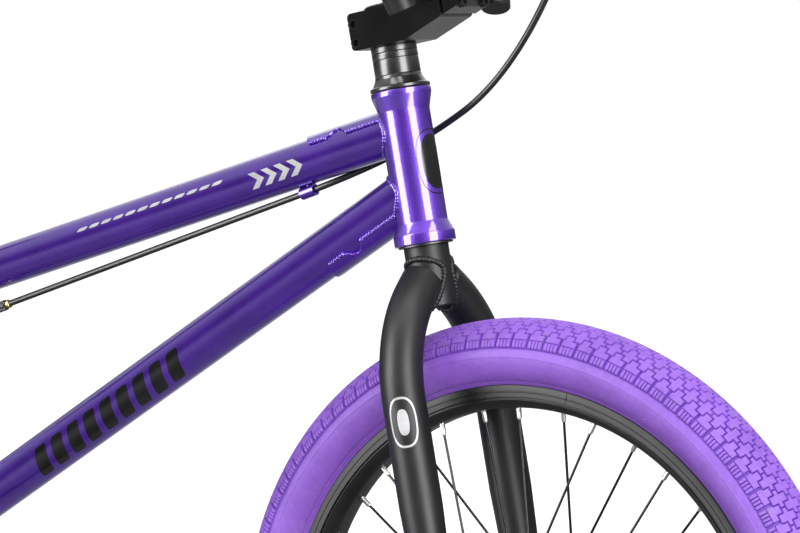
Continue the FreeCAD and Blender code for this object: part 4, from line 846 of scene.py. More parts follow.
risers = Shell()
bar_beads = Shell()
clamp_bar = Shell()
crossbar = Shell()
BAR_RADIUS = 11.1
CROSSBAR_RADIUS = 9.5
KNEE = (31.8, 149.6, 395.0)
TIP = (-9.0, 360.0, 402.0)
FOOT = (54.6, 62.5, 166.0)
rise = (Vector(KNEE) - Vector(FOOT)).normalized()
joint = Vector(FOOT) + rise * ((283.0 - FOOT[2]) / rise.z)
for side in (-1, 1):
    corners = [on_head(x, side * y, z) for x, y, z in (FOOT, KNEE, TIP)]
    risers.sweep(bent_route(corners, [75.0], 2.5), BAR_RADIUS, 48, edge=1.0)
    run = on_head(KNEE[0], side * KNEE[1], KNEE[2]) - corners[0]
    post = (corners[0], run.normalized(), BAR_RADIUS)
    weld(bar_beads, joint_curve(on_clamp(side * 69), Y * -side, BAR_RADIUS, post, grow=-0.1), 1.7)
    cross_at = on_head(joint.x, side * joint.y, joint.z)
    weld(bar_beads, joint_curve(cross_at, Y * -side, CROSSBAR_RADIUS, post), 1.6)
clamp_bar.sweep([on_clamp(side) for side in (-58.5, 0, 58.5)], BAR_RADIUS, 48)
crossbar.sweep([on_head(joint.x, -joint.y + 8, joint.z), on_head(joint.x, 0, joint.z),
                on_head(joint.x, joint.y - 8, joint.z)], CROSSBAR_RADIUS, 48)
make("handlebar_riser_tubes", risers, [SATIN_BLACK], ["handlebar_risers"])
make("handlebar_clamp_bar", clamp_bar, [SATIN_BLACK], ["handlebar_clamp_tube"])
make("handlebar_cross_tube", crossbar, [SATIN_BLACK], ["handlebar_crossbar"])
make("handlebar_welds", bar_beads, [SATIN_BLACK], body="fork_and_handlebar", sharp=60)

grips = Shell()
GRIP = [(11.15, -138.0), (19.0, -138.0), (19.0, -134.5), (15.6, -132.6)]
for fin in range(21):
    base = -130.0 + fin * 5.8
    GRIP += [(15.2, base), (14.2, base + 0.8), (14.2, base + 1.8), (15.2, base + 2.6)]
GRIP += [(15.2, -0.05), (11.15, -0.05)]
for side in (-1, 1):
    tip = on_head(TIP[0], side * TIP[1], TIP[2])
    out = (tip - on_head(KNEE[0], side * KNEE[1], KNEE[2])).normalized()
    grips.lathe(softened(GRIP, 0.35, 2), tip, out, 72)
make("rubber_grips", grips, [GRIP_RUBBER], ["grips"], sharp=45)
keep_cad("bar_end_plugs", [BLACK_NYLON])
keep_cad("brake_lever_bracket", [BLACK_ALLOY], bevel=0.4)
keep_cad("brake_lever", [BLACK_ALLOY], bevel=1.0)
keep_cad("front_axle_set", [DARK_STEEL])

# ------------------------------------------------------------------------ wheels
CROWN = 257.0
TYRE_OUTLINE = [(CROWN, 0.0), (256.0, 7.5), (253.0, 14.0), (247.0, 21.8), (240.0, 26.6), (234.0, 28.0),
                (227.0, 27.6), (219.0, 24.6), (214.0, 20.5), (210.2, 16.6), (208.6, 14.3)]
PITCHES = 114
PITCH_LENGTH = 14.16
LINES = 15
COARSE = 5
TREAD_DEPTH = 2.1
GROOVE = 0.052
BAND = 2.0
BAND_STEP = 8.6
SHOULDER_AT = 23.8
FINE_LINE_DEPTH = 1.25
# Distance past the shoulder's edge, how deep the comb's slots are there, and how deep its ends are.
SHOULDER_COMB = [(0.5, 0.0, 0.0), (2.6, 0.0, 0.0), (4.9, 0.0, 0.0), (5.3, 0.55, 0.5), (5.7, 1.0, 0.05),
                 (7.4, 1.0, 0.0), (10.4, 1.0, 0.0), (11.3, 1.0, 0.22), (11.9, 1.0, 0.6), (12.2, 1.0, 1.0)]
# The bead and the lining that close the tyre's section inside the rim: radius and half width.
BEAD = [(208.2, 14.1), (203.6, 14.1), (203.6, 10.8), (211.0, 12.8), (224.0, 22.4), (236.0, 22.6),
        (247.5, 13.0), (251.0, 0.0)]
CELL_LINES = [cell / 4 + place for cell in range(4) for place in (0.0, GROOVE, 0.125, 0.25 - GROOVE)
              if cell < 3 or place != 0.125]
RIB_LINES = [(cell + place) / 5 for cell in range(5) for place in (0.0, 0.17, 0.83)]


def smooth_section():
    """The tyre's half section as a smooth curve, walked in small equal steps from the middle of the tread."""
    points = [(TYRE_OUTLINE[1][0], -TYRE_OUTLINE[1][1])] + TYRE_OUTLINE
    end = TYRE_OUTLINE[-1]
    points.append((end[0] - 1.2, end[1] - 1.6))
    fine = []
    for before, first, second, after in zip(points, points[1:], points[2:], points[3:]):
        for step in range(24):
            t = step / 24
            fine.append(tuple(0.5 * (2 * b + (c - a) * t + (2 * a - 5 * b + 4 * c - d) * t * t
                                     + (3 * b - a - 3 * c + d) * t ** 3)
                              for a, b, c, d in zip(before, first, second, after)))
    fine.append(end)
    fine = np.array(fine)
    lengths = np.concatenate([[0.0], np.cumsum(np.hypot(*np.diff(fine, axis=0).T))])
    return fine, lengths


SECTION, SECTION_LENGTHS = smooth_section()


def on_section(distance):
    """Radius, distance from the middle, and the outward normal at a walked distance from the crown."""
    radius = np.interp(distance, SECTION_LENGTHS, SECTION[:, 0])
    side = np.interp(distance, SECTION_LENGTHS, SECTION[:, 1])
    ahead = min(distance + 0.4, SECTION_LENGTHS[-1])
    behind = max(distance - 0.4, 0.0)
    dr = np.interp(ahead, SECTION_LENGTHS, SECTION[:, 0]) - np.interp(behind, SECTION_LENGTHS, SECTION[:, 0])
    ds = np.interp(ahead, SECTION_LENGTHS, SECTION[:, 1]) - np.interp(behind, SECTION_LENGTHS, SECTION[:, 1])
    if distance == 0.0:
        dr = 0.0
    size = math.hypot(dr, ds)
    return radius, side, ds / size, -dr / size


def block_at(level, cell):
    """Which block fills a cell of the tread.

    Even levels are bands across a row, and odd ones lie between two rows.
    """
    pitch, quarter = divmod(cell, 4)
    row = level // 2
    if level % 2:
        row += (row % 2 == 0) == (quarter in (1, 2))
    if row >= 3:
        return "shoulder", pitch
    return row, pitch if row % 2 else (cell + 2) // 4


def tread_rows():
    """The tread and both shoulders: walked distance, lines across one pitch, and the depth along them."""
    half = []
    reach = GROOVE * PITCH_LENGTH
    lines = []
    for cell in range(4):
        lines += [(cell - 1, cell), (cell, cell), (cell, cell), (cell, cell)]
    lines = lines[:-1]

    def depths(levels):
        found = []
        for cells in lines:
            owners = {block_at(level, cell) for level in levels for cell in cells}
            found.append(1.0 if len(owners) > 1 else 0.0)
        return found

    half.append((0.0, CELL_LINES, depths((0,))))
    edge = BAND
    for level in range(5):
        half.append((edge - reach, CELL_LINES, depths((level,))))
        half.append((edge, CELL_LINES, depths((level, level + 1))))
        half.append((edge + reach, CELL_LINES, depths((level + 1,))))
        edge += BAND_STEP - 2 * BAND if level % 2 == 0 else 2 * BAND
    half.append((SHOULDER_AT - reach, CELL_LINES, depths((5,))))
    half.append((SHOULDER_AT, CELL_LINES, [0.0 if 4 < index < 12 else 1.0 for index in range(LINES)]))
    # The shoulder: a solid block, then a comb of four ribs with rounded ends.
    for distance, slot, end in SHOULDER_COMB:
        depth = [FINE_LINE_DEPTH if index > 12 else max(end, slot if index in (3, 6, 9) else 0.0)
                 for index in range(LINES)]
        half.append((SHOULDER_AT + distance, RIB_LINES, depth))
    return [(-distance, across, depth) for distance, across, depth in reversed(half[1:])] + half


def wall_rows():
    """The side wall below the tread: walked distance and how far it stands off the section."""
    edge = SHOULDER_AT + 12.2
    total = SECTION_LENGTHS[-1]
    rows = [(edge + 1.2, -1.25), (edge + 3.0, -0.8), (edge + 5.2, -0.32)]
    line = edge + 6.4
    rows += [(line, -0.12), (line + 0.25, 0.26), (line + 0.65, 0.30), (line + 0.95, -0.05), (line + 2.2, 0.0)]
    last = total - 6.2
    start = line + 2.2
    rows += [(start + (last - start) * step / 7, 0.0) for step in range(1, 8)]
    rows += [(total - 5.7, -0.35), (total - 5.1, -0.05), (total - 4.4, 0.02), (total - 3.8, -0.35),
             (total - 3.2, -0.02), (total - 1.6, 0.0), (total, 0.0)]
    return rows


def wheel_dir(angle):
    """Unit vector in a wheel's plane, from the forward direction upward, for an angle in degrees."""
    return Vector((math.cos(math.radians(angle)), 0, math.sin(math.radians(angle))))


def make_tyre(name, node, centre):
    columns = PITCHES * LINES

    def turns(lines):
        return ((np.arange(PITCHES)[:, None] + np.array(lines)[None, :]) / PITCHES).ravel() * 2 * math.pi

    points = []
    values = {label: [] for label in ("tread_top", "around", "across", "side_wall", "groove")}
    offset = np.array(tuple(centre))

    def add_ring(radii, sides, angles, **given):
        sides = np.broadcast_to(sides, angles.shape)
        points.append(np.stack([radii * np.cos(angles), sides, radii * np.sin(angles)], 1) + offset)
        given["around"] = angles * CROWN
        for label, found in values.items():
            found.append(np.broadcast_to(given.get(label, 0.0), angles.shape))

    def add_row(distance, depth, angles, **given):
        radius, side, out_radius, out_side = on_section(abs(distance))
        sign = 1.0 if distance >= 0 else -1.0
        radii, sides = radius - depth * out_radius, sign * (side - depth * out_side)
        add_ring(radii, sides, angles, across=distance, **given)

    rows = tread_rows()
    for distance, lines, depths in rows:
        depth = np.tile(np.array(depths), PITCHES) * TREAD_DEPTH
        fade = 1.0 if abs(distance) < 34 else 0.0
        sunk = np.minimum(depth / TREAD_DEPTH, 1.0)
        add_row(distance, depth, turns(lines), tread_top=(1.0 - sunk) * fade, groove=sunk)
    faces = []
    for row in range(len(rows) - 1):
        base = row * columns
        for c in range(columns):
            d = (c + 1) % columns
            faces.append((base + c, base + d, base + columns + d, base + columns + c))
    coarse = columns // COARSE
    sparse = turns(RIB_LINES)[::COARSE]
    count = len(rows) * columns
    side_rows = wall_rows()
    low_edge = SECTION_LENGTHS[-1]
    for sign, fine_base in ((1, (len(rows) - 1) * columns), (-1, 0)):
        first = count
        for distance, lift in side_rows:
            wall = min(max((distance - 44.0) / (low_edge - 48.0), 0.0), 1.0)
            add_row(sign * distance, -lift, sparse, side_wall=wall)
            count += coarse
        for radius, side in BEAD:
            add_ring(radius, sign * side, sparse, across=sign * 70.0, side_wall=1.0)
            count += coarse
        levels = (count - first) // coarse
        for c in range(coarse):
            d = (c + 1) % coarse
            edge = [fine_base + (COARSE * c + step) % columns for step in range(COARSE + 1)]
            faces.append(tuple(edge) + (first + d, first + c))
            for level in range(levels - 1):
                a = first + level * coarse
                faces.append((a + c, a + d, a + coarse + d, a + coarse + c))
    mesh = bpy.data.meshes.new(name)
    mesh.from_pydata((np.concatenate(points) * MM).tolist(), [], faces)
    for label, found in values.items():
        layer = mesh.attributes.new(label, "FLOAT", "POINT")
        layer.data.foreach_set("value", np.concatenate(found).astype("f"))
    mesh.materials.append(TYRE)
    tidy(mesh)
    obj = new_object(name, mesh)
    finish_surface(obj, 38, 0)
    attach(obj, BODY_OF[node])
    stand_for([node])


def make_vent_hairs(name, node, centre):
    """Little rubber hairs left by the mould's vents, round both side walls."""
    shell = Shell()
    for index in range(24):
        side = 1 if index % 2 else -1
        angle = index * 15 + 4.0 * math.sin(index * 2.3)
        radius, reach, _, _ = on_section(SECTION_LENGTHS[-1] - 7.0 - 9.0 * (index % 3))
        foot = centre + wheel_dir(angle) * radius + Y * (side * (reach - 0.4))
        lean = wheel_dir(angle + 90 + 50 * math.sin(index * 1.7))
        path = [foot, foot + Y * (side * 1.0) + lean * 0.8, foot + Y * (side * 1.4) + lean * 3.4]
        shell.sweep(path, [0.34, 0.3, 0.2], 8, edge=0.05)
    make(name, shell, [TYRE], body=BODY_OF[node], sharp=60)


RIM_HALF = [(191.6, 0.0), (191.6, 6.4), (191.8, 8.0), (193.2, 11.4), (195.5, 14.4), (197.3, 15.7),
            (198.3, 16.3), (198.7, 16.1), (198.95, 14.9), (199.9, 14.9), (200.15, 16.1), (200.6, 16.5),
            (203.7, 16.5), (204.0, 16.0), (204.5, 16.0), (204.8, 16.5), (208.4, 16.5), (209.0, 16.25),
            (209.3, 15.7), (209.2, 15.2), (208.5, 14.9), (206.0, 14.7), (203.4, 14.9), (202.8, 9.0),
            (201.2, 7.0), (201.2, 0.0)]
NIPPLE_SEAT = 196.2
# Distance along a nipple, its half width there, and whether it is squared.
NIPPLE_OUTLINE = [(0.0, 2.2, 0), (0.2, 2.9, 0), (1.2, 2.9, 0), (2.0, 2.05, 0), (5.2, 2.0, 0), (5.6, 1.72, 1),
                  (5.9, 1.66, 1), (12.0, 1.62, 1), (12.4, 1.66, 0), (13.0, 1.5, 0), (13.5, 1.3, 0)]


def make_rim(name, node, centre):
    outline = RIM_HALF + [(radius, -side) for radius, side in reversed(RIM_HALF[1:-1])]
    shell = Shell()
    shell.lathe(outline, centre, Y, 300)
    # The joint in the rim: a fine raised seam and the pin's end on each wall.
    seam = wheel_dir(80)
    for side in (-1, 1):
        path = [centre + seam * radius + Y * (side * reach)
                for radius, reach in ((192.4, 9.6), (195.4, 14.4), (198.4, 16.4))]
        shell.sweep(path, 0.22, 8, edge=0.05)
        shell.sweep([centre + seam * 201.0 + Y * (side * 16.55), centre + seam * 205 + Y * (side * 16.55),
                     centre + seam * 208.7 + Y * (side * 16.55)], 0.22, 8, edge=0.05)
    obj = make(name, shell, [RIM], [node], sharp=30)
    coordinates = np.empty(len(obj.data.vertices) * 3)
    obj.data.vertices.foreach_get("co", coordinates)
    coordinates = coordinates.reshape(-1, 3) / MM - np.array(tuple(centre))
    travel = np.hypot(coordinates[:, 0], coordinates[:, 2]) + np.abs(coordinates[:, 1])
    obj.data.attributes.new("radial", "FLOAT", "POINT").data.foreach_set("value", travel.astype("f"))


def make_nipples(name, node, centre, flange_side, flange_radius):
    """Nipples with a round head in the rim's bed, a squared shank and a tapered mouth."""
    shell = Shell()
    for index in range(36):
        side = 1 if index % 2 == 0 else -1
        leading = 1 if (index // 2) % 2 == 0 else -1
        angle = 4.0 + index * 10.0
        foot = (centre + wheel_dir(angle - leading * 60) * flange_radius
                + Y * (side * flange_side + 3.4 * leading))
        seat = centre + wheel_dir(angle) * NIPPLE_SEAT + Y * (side * 3.2 + 0.9 * leading)
        inward = (foot - seat).normalized()
        across, other = square_to(inward)
        turn = index * 0.7
        rows = []
        for along, size, squareness in NIPPLE_OUTLINE:
            ring = []
            for step in range(24):
                phase = 2 * math.pi * step / 24
                swell = 1.0
                if squareness:
                    swell = min(1.0 / max(abs(math.cos(phase)), abs(math.sin(phase))), 1.22)
                ring.append(seat + inward * along + (across * math.cos(phase + turn)
                                                     + other * math.sin(phase + turn)) * size * swell)
            rows.append(ring)
        shell.grid(rows, cap_start=True, cap_end=True)
    make(name, shell, [NICKEL], [node], sharp=35)


for wheel, centre, flange_side, flange_radius in (("front", FRONT_AXLE, 27.0, 20.5),
                                                  ("rear", REAR_AXLE, 24.0, 24.0)):
    make_tyre(wheel + "_tread_and_walls", wheel + "_tyre", centre)
    make_vent_hairs(wheel + "_vent_hairs", wheel + "_tyre", centre)
    make_rim(wheel + "_rim_hoop", wheel + "_rim", centre)
    make_nipples(wheel + "_spoke_nipples", wheel + "_nipples", centre, flange_side, flange_radius)
    keep_cad(wheel + "_spokes", [SPOKE_BLACK], bevel=0.0)
    keep_cad(wheel + "_hub", [GLOSS_BLACK], bevel=0.3)
    keep_cad(wheel + "_inner_tube", [BLACK_NYLON], bevel=0.0)

# --------------------------------------------------------------------- drivetrain
keep_cad("rear_driver", [DARK_STEEL], bevel=0.2)
keep_cad("chainring", [BLACK_ALLOY], bevel=0.3)
keep_cad("crank_arms", [SATIN_BLACK], bevel=1.0)
keep_cad("crank_spindle", [DARK_STEEL])
keep_cad("pedal_axles", [STEEL])
for node in ("pedal_left", "pedal_right"):
    keep_cad(node, [BLACK_NYLON], bevel=0.7)

# ------------------------------------------------------------------ brake and cables
PIVOTS = {"left": joint_at("brake_arm_left_swing"), "right": joint_at("brake_arm_right_swing")}


def arm_chooser(centre):
    """Pad faces are the rubber block that stands between the arm and the rim."""
    along = (centre - REAR_AXLE).dot(STAY_X)
    return 1 if abs(centre.y) < 29.0 and along < 230 else 0


for side in ("left", "right"):
    keep_cad("brake_arm_" + side, [BLACK_ALLOY, PAD_RUBBER], bevel=0.5, chooser=arm_chooser)


def curve_piece(name, points, radius, surface, body, nodes=()):
    """A cable housing: one smooth curve with the route's own points as its control points."""
    curve = bpy.data.curves.new(name, "CURVE")
    curve.dimensions = "3D"
    curve.bevel_depth = radius * MM
    curve.bevel_resolution = 6
    curve.resolution_u = 24
    curve.use_fill_caps = True
    spline = curve.splines.new("NURBS")
    spline.points.add(len(points) - 1)
    for target, point in zip(spline.points, points):
        target.co = (*(point * MM), 1.0)
    spline.order_u = 3
    spline.use_endpoint_u = True
    curve.materials.append(surface)
    obj = new_object(name, curve)
    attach(obj, body)
    if nodes:
        stand_for(nodes)
    return obj


HOUSING_RADIUS = 2.5
BRAKE_PLANE = 22
WIRE_AT = 277
GUIDE_FRONT = Vector((267.0, 0, 599.6))
GUIDE_REAR = Vector((-110.0, 5.6, 484.4))
ADJUSTER = Vector((-28.6, 0, 500.2))
cable_way = (ADJUSTER - GUIDE_FRONT).normalized()
bend = ADJUSTER + cable_way * 34
curve_piece("cable_housing_front", [GUIDE_FRONT - cable_way * 6.6, ADJUSTER + cable_way * 0.4],
            HOUSING_RADIUS, HOUSING, "frame", ["brake_cable"])
rear_run = [ADJUSTER + cable_way * 25, bend, bend + (GUIDE_REAR - bend) * 1.55, Vector((-172, 38, 478)),
            on_stay(358, 64, BRAKE_PLANE), on_stay(318, 66, BRAKE_PLANE)]
curve_piece("cable_housing_rear", rear_run, HOUSING_RADIUS, HOUSING, "frame", ["brake_cable"])
noodle = Shell()
noodle.sweep(bent_route([on_stay(WIRE_AT, 30, BRAKE_PLANE), on_stay(WIRE_AT, 65.5, BRAKE_PLANE),
                         on_stay(317.8, 66, BRAKE_PLANE)], [16.0], 1.5), 2.6, 20)
noodle.sweep([on_stay(along, 66, BRAKE_PLANE) for along in (313.5, 316, 319.5)], 3.4, 24)
make("brake_noodle_tube", noodle, [STEEL], ["brake_cable"])
wire = Shell()
wire.sweep([on_stay(WIRE_AT, side, BRAKE_PLANE) for side in (-48, 0, 29.9)], 0.8, 12, edge=0.1)
make("brake_inner_wire", wire, [STEEL], ["brake_cable"])

collar = Shell()
collar.lathe(softened([(2.55, 0.0), (3.1, 0.0), (3.6, 0.8), (3.6, 2.6), (3.1, 3.2), (2.55, 3.2)], 0.25),
             ADJUSTER, cable_way, 48)
collar.mark = 1
rows = []
across, other = square_to(cable_way)
for along, radius, flute in ((3.2, 2.6, 0), (3.2, 3.5, 0), (4.2, 4.15, 0), (4.6, 4.3, 1), (14.4, 4.3, 1),
                             (15.0, 4.1, 0), (17.0, 3.4, 0), (25.6, 3.4, 0), (26.0, 3.1, 0), (26.0, 2.6, 0)):
    rows.append([ADJUSTER + cable_way * along + turned(across, other, step, 96)
                 * (radius - (0.35 if flute and step % 4 < 2 else 0.0)) for step in range(96)])
collar.grid(rows, wrap_rows=True)
make("inline_cable_adjuster", collar, [BRASS, GLOSS_BLACK], ["cable_adjuster"], sharp=30)

LEVER_TIP = Vector((TIP[0], -TIP[1], TIP[2]))
LEVER_KNEE = Vector((KNEE[0], -KNEE[1], KNEE[2]))
lever_out = (LEVER_TIP - LEVER_KNEE).normalized()
lever_ahead = Vector((math.cos(math.radians(28)), 0, -math.sin(math.radians(28))))
lever_ahead = (lever_ahead - lever_out * lever_ahead.dot(lever_out)).normalized()
start = on_head(*(LEVER_TIP - lever_out * 158 - lever_out * 30 + lever_ahead * 30))
inward_tip = on_head(*(LEVER_TIP - lever_out * 158 - lever_out * 75 + lever_ahead * 30))
loop = [start, inward_tip] + [Vector(point) for point in (
    (412, -78, 948), (460, -26, 914), (487, 10, 856), (482, 26, 790), (449, 31, 727), (407, 33, 676),
    (362, 33, 647), (322, 21, 624))] + [GUIDE_FRONT - cable_way * 22, GUIDE_FRONT - cable_way * 6.7]
loop_obj = curve_piece("cable_housing_loop", loop, HOUSING_RADIUS, HOUSING, "frame", ["brake_cable_loop"])


def bend_loop(obj):
    """Turn the loop's curve into a mesh that stands for the CAD loop."""
    bpy.context.view_layer.update()
    mesh = bpy.data.meshes.new_from_object(obj.evaluated_get(bpy.context.evaluated_depsgraph_get()))
    curve = obj.data
    bpy.data.objects.remove(obj)
    bpy.data.curves.remove(curve)
    made = new_object("cable_housing_loop", mesh)
    tidy(mesh)
    mesh.shade_smooth()
    stand_for(["brake_cable_loop"])
    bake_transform(made)


bend_loop(loop_obj)

# ------------------------------------------------------------------- saddle and post
keep_cad("seat_post", [GLOSS_BLACK], bevel=0.4)
keep_cad("saddle_base", [BLACK_NYLON], bevel=0.8)
SADDLE_PIVOT = joint_at("saddle_tilt")
tilt = math.radians(12)
SADDLE_X = Vector((math.cos(tilt), 0, math.sin(tilt)))
SADDLE_Z = Vector((-math.sin(tilt), 0, math.cos(tilt)))
SADDLE_PLAN = [(-112, 0), (-110, 34), (-100, 56), (-76, 66), (-42, 60), (8, 38), (58, 24), (106, 16),
               (122, 11.2), (128, 0)]
SADDLE_TOP = [(-112, 39.0), (-92, 44.5), (-60, 44.0), (0, 38.5), (60, 37.0), (104, 36.0), (128, 30.0)]


def on_saddle(along, side, up):
    return SADDLE_PIVOT + SADDLE_X * along + Y * side + SADDLE_Z * up


def saddle_half_width(along):
    """Half the saddle's width at a place along it, rounded at nose and tail."""
    xs = [x for x, _ in SADDLE_PLAN]
    ws = [w for _, w in SADDLE_PLAN]
    total = 0.0
    for step in range(-3, 4):
        total += float(np.interp(along + step * 3.0, xs, ws))
    ends = min((along + 112.0) / 26.0, (128.0 - along) / 16.0, 1.0)
    return max(total / 7 * math.sqrt(max(1 - (1 - ends) ** 2, 0.0)) if ends < 1 else total / 7, 0.4)


def saddle_top(along):
    """Height of the cover above the pivot, in the saddle's frame: raised tail, low waist, rounded nose."""
    return float(np.interp(along, *zip(*SADDLE_TOP)))


def make_cushion():
    shell = Shell()
    rows = []
    stations = 56
    for station in range(stations + 1):
        along = 8.0 - 119.0 * math.cos(math.pi * station / stations)
        width = saddle_half_width(along) - 1.0
        top = saddle_top(along)
        middle = 28.0
        ring = []
        for step in range(48):
            phase = 2 * math.pi * step / 48
            side = math.copysign(abs(math.cos(phase)) ** 0.72, math.cos(phase)) * width
            rise = math.sin(phase)
            if rise >= 0:
                up = middle + (top - middle) * rise ** 0.8
            else:
                up = middle - (middle - 21.3) * (-rise) ** 0.5
            ring.append(on_saddle(along, side, up))
        rows.append(ring)
    shell.grid(rows, cap_start=True, cap_end=True)
    mesh = bpy.data.meshes.new("saddle_cover")
    mesh.from_pydata((np.array(shell.points) * MM).tolist(), [], shell.faces)
    tidy(mesh)
    obj = new_object("saddle_cover", mesh)
    add_modifier(obj, "REMESH", mode="VOXEL", voxel_size=0.0045)
    inflate(obj)
    add_modifier(obj, "SUBSURF", levels=1)
    sew(obj.data)
    obj.data.materials.append(COVER)
    finish_surface(obj, 60, 0)
    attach(obj, "saddle")
    stand_for(["saddle_cushion"])
    return obj


def add_modifier(obj, kind, **settings):
    """Add one modifier and apply it to the object's mesh."""
    modifier = obj.modifiers.new(kind.lower(), kind)
    for key, value in settings.items():
        setattr(modifier, key, value)
    apply_modifiers(obj)


def apply_modifiers(obj):
    bpy.context.view_layer.update()
    mesh = bpy.data.meshes.new_from_object(obj.evaluated_get(bpy.context.evaluated_depsgraph_get()))
    old = obj.data
    obj.modifiers.clear()
    obj.data = mesh
    bpy.data.meshes.remove(old)


def inflate(obj):
    """Let the padding swell under pressure, no point moving further than the cap."""
    cap = 3.0 * MM
    before = np.empty(len(obj.data.vertices) * 3)
    obj.data.vertices.foreach_get("co", before)
    cloth = obj.modifiers.new("cloth", "CLOTH")
    cloth.settings.use_pressure = True
    cloth.settings.uniform_pressure_force = 4.0
    cloth.settings.effector_weights.gravity = 0.0
    cloth.settings.quality = 6
    cloth.point_cache.frame_start = 1
    cloth.point_cache.frame_end = 20
    for step in range(1, 21):
        bpy.context.scene.frame_set(step)
    apply_modifiers(obj)
    bpy.context.scene.frame_set(1)
    after = np.empty(len(obj.data.vertices) * 3)
    obj.data.vertices.foreach_get("co", after)
    before, after = before.reshape(-1, 3), after.reshape(-1, 3)
    move = after - before
    size = np.linalg.norm(move, axis=1, keepdims=True)
    moved = before + move * np.minimum(1.0, cap / np.maximum(size, 1e-9))
    # The underside stays flat on the shell.
    origin = np.array(tuple(SADDLE_PIVOT * MM))
    up = np.array(tuple(SADDLE_Z))
    height = (moved - origin) @ up
    moved += np.outer(np.maximum(21.2 * MM - height, 0.0), up)
    obj.data.vertices.foreach_set("co", moved.ravel())


def seam_side(along):
    return saddle_half_width(along) * 0.66


def sew(mesh):
    """Press the two long seams into the cover."""
    for vertex in mesh.vertices:
        local = vertex.co / MM - SADDLE_PIVOT
        along, side, up = local.dot(SADDLE_X), local.y, local.dot(SADDLE_Z)
        if up < 27 or along < -104 or along > 121:
            continue
        gap = abs(abs(side) - seam_side(along))
        if gap < 4.0:
            depth = 1.1 * (0.5 + 0.5 * math.cos(math.pi * gap / 4.0))
            vertex.co -= vertex.normal * (depth * MM)


cushion = make_cushion()
bpy.context.view_layer.update()
thread = Shell()
down = -SADDLE_Z
for side in (-1, 1):
    for row in (-2.6, 2.6):
        for step in range(-24, 28):
            ends = []
            for share in (0.0, 0.5, 1.0):
                along = step * 4.3 + share * 2.7
                above = on_saddle(along, side * (seam_side(along) + row * 0.5), 80)
                hit, where, _, _ = cushion.ray_cast(above * MM, down)
                if hit:
                    ends.append(where / MM + SADDLE_Z * 0.12)
            if len(ends) == 3:
                thread.sweep(ends, 0.34, 8, edge=0.15)
make("saddle_stitching", thread, [THREAD], body="saddle", sharp=60)


# ------------------------------------------------------------------------- decals
def film(shell, place, centre, half_height, edges, steps=28):
    """A thin printed film laid on a curved skin, with its rim dipped into the skin."""
    rows = []
    for step in range(steps + 1):
        share = -math.cos(math.pi * step / steps)
        left, right = edges(share)
        v = centre[1] + share * half_height
        rows.append([place(centre[0] + left + (right - left) * across, v, lift) for across, lift in
                     ((0, -0.3), (0, 0.15), (0.33, 0.16), (0.67, 0.16), (1, 0.15), (1, -0.3))])
    shell.grid(rows, cap_start=True, cap_end=True)


def bar_edges(half_length, power, slant=0.0):
    """The sides of a bar whose corners are rounder the smaller the power."""
    def edges(share):
        reach = half_length * max(1 - abs(share) ** power, 0.002) ** (1 / power)
        return slant * share - reach, slant * share + reach
    return edges


def oval(centre, half_length, half_height, power, count=96):
    """A rounded closed outline, as (u, v) points."""
    points = []
    for step in range(count):
        phase = 2 * math.pi * step / count
        size = (abs(math.cos(phase)) ** power + abs(math.sin(phase)) ** power) ** (-1 / power)
        points.append((centre[0] + half_length * size * math.cos(phase),
                       centre[1] + half_height * size * math.sin(phase)))
    return points


def ring_film(shell, place, outer, inner):
    """A thin printed outline between two curves."""
    rows = [[place(u, v, lift) for u, v in curve]
            for curve, lift in ((inner, -0.3), (inner, 0.16), (outer, 0.16), (outer, -0.3))]
    shell.grid(rows, wrap_rows=True)


def on_tube(start, along, up, radius):
    """Place a flat drawing on a tube: u runs along it, v is the angle in degrees from up toward the right."""
    def place(u, v, lift):
        angle = math.radians(v)
        return start + along * u + (up * math.cos(angle) - Y * math.sin(angle)) * (radius + lift)
    return place


dark = Shell()
pale = Shell()
fork_marks = Shell()
for flank in (1, -1):
    place = on_tube(DOWN_START, DOWN_ALONG, Y.cross(DOWN_ALONG), DOWN_RADIUS)
    for bar in range(9):
        film(dark, place, (258 + bar * 19.6, flank * 113), 38, bar_edges(6.6, 7, flank * 5.0))
    place = on_tube(TOP_START, TOP_ALONG, Y.cross(TOP_ALONG), TOP_RADIUS)
    for mark in range(4):
        for way in (-1, 1):
            film(pale, place, (95 + mark * 12.5, flank * 98 + way * 11), 11,
                 lambda share, way=way: (4.0 * way * share - 3.2, 4.0 * way * share + 3.2), 12)
    for dash in range(12):
        film(pale, place, (170 + dash * 12.6, flank * 72), 4.5, bar_edges(4.6, 4, flank * 1.6), 12)
    place = on_tube(on_head(0, -flank * LEG_SIDE, LEG_LOW), HEAD_UP, HEAD_FORWARD, LEG_RADIUS)
    middle = (63, flank * 66)
    ring_film(fork_marks, place, oval(middle, 18.5, 37, 2.6), oval(middle, 16.9, 32.5, 2.6))
    film(fork_marks, place, middle, 15, bar_edges(9.5, 2.6))
head_place = on_tube(HEAD_BOTTOM, HEAD_UP, HEAD_FORWARD, 19.3)
ring_film(dark, head_place, oval((59, 0), 24.5, 47, 2.6), oval((59, 0), 23.6, 44.5, 2.6))
film(dark, head_place, (59, 0), 34, bar_edges(20.5, 2.6), 40)
make("frame_decals_dark", dark, [DECAL_BLACK], body="frame", sharp=60)
make("frame_decals_pale", pale, [DECAL_WHITE], body="frame", sharp=60)
make("fork_decals_pale", fork_marks, [DECAL_WHITE], body="fork_and_handlebar", sharp=60)

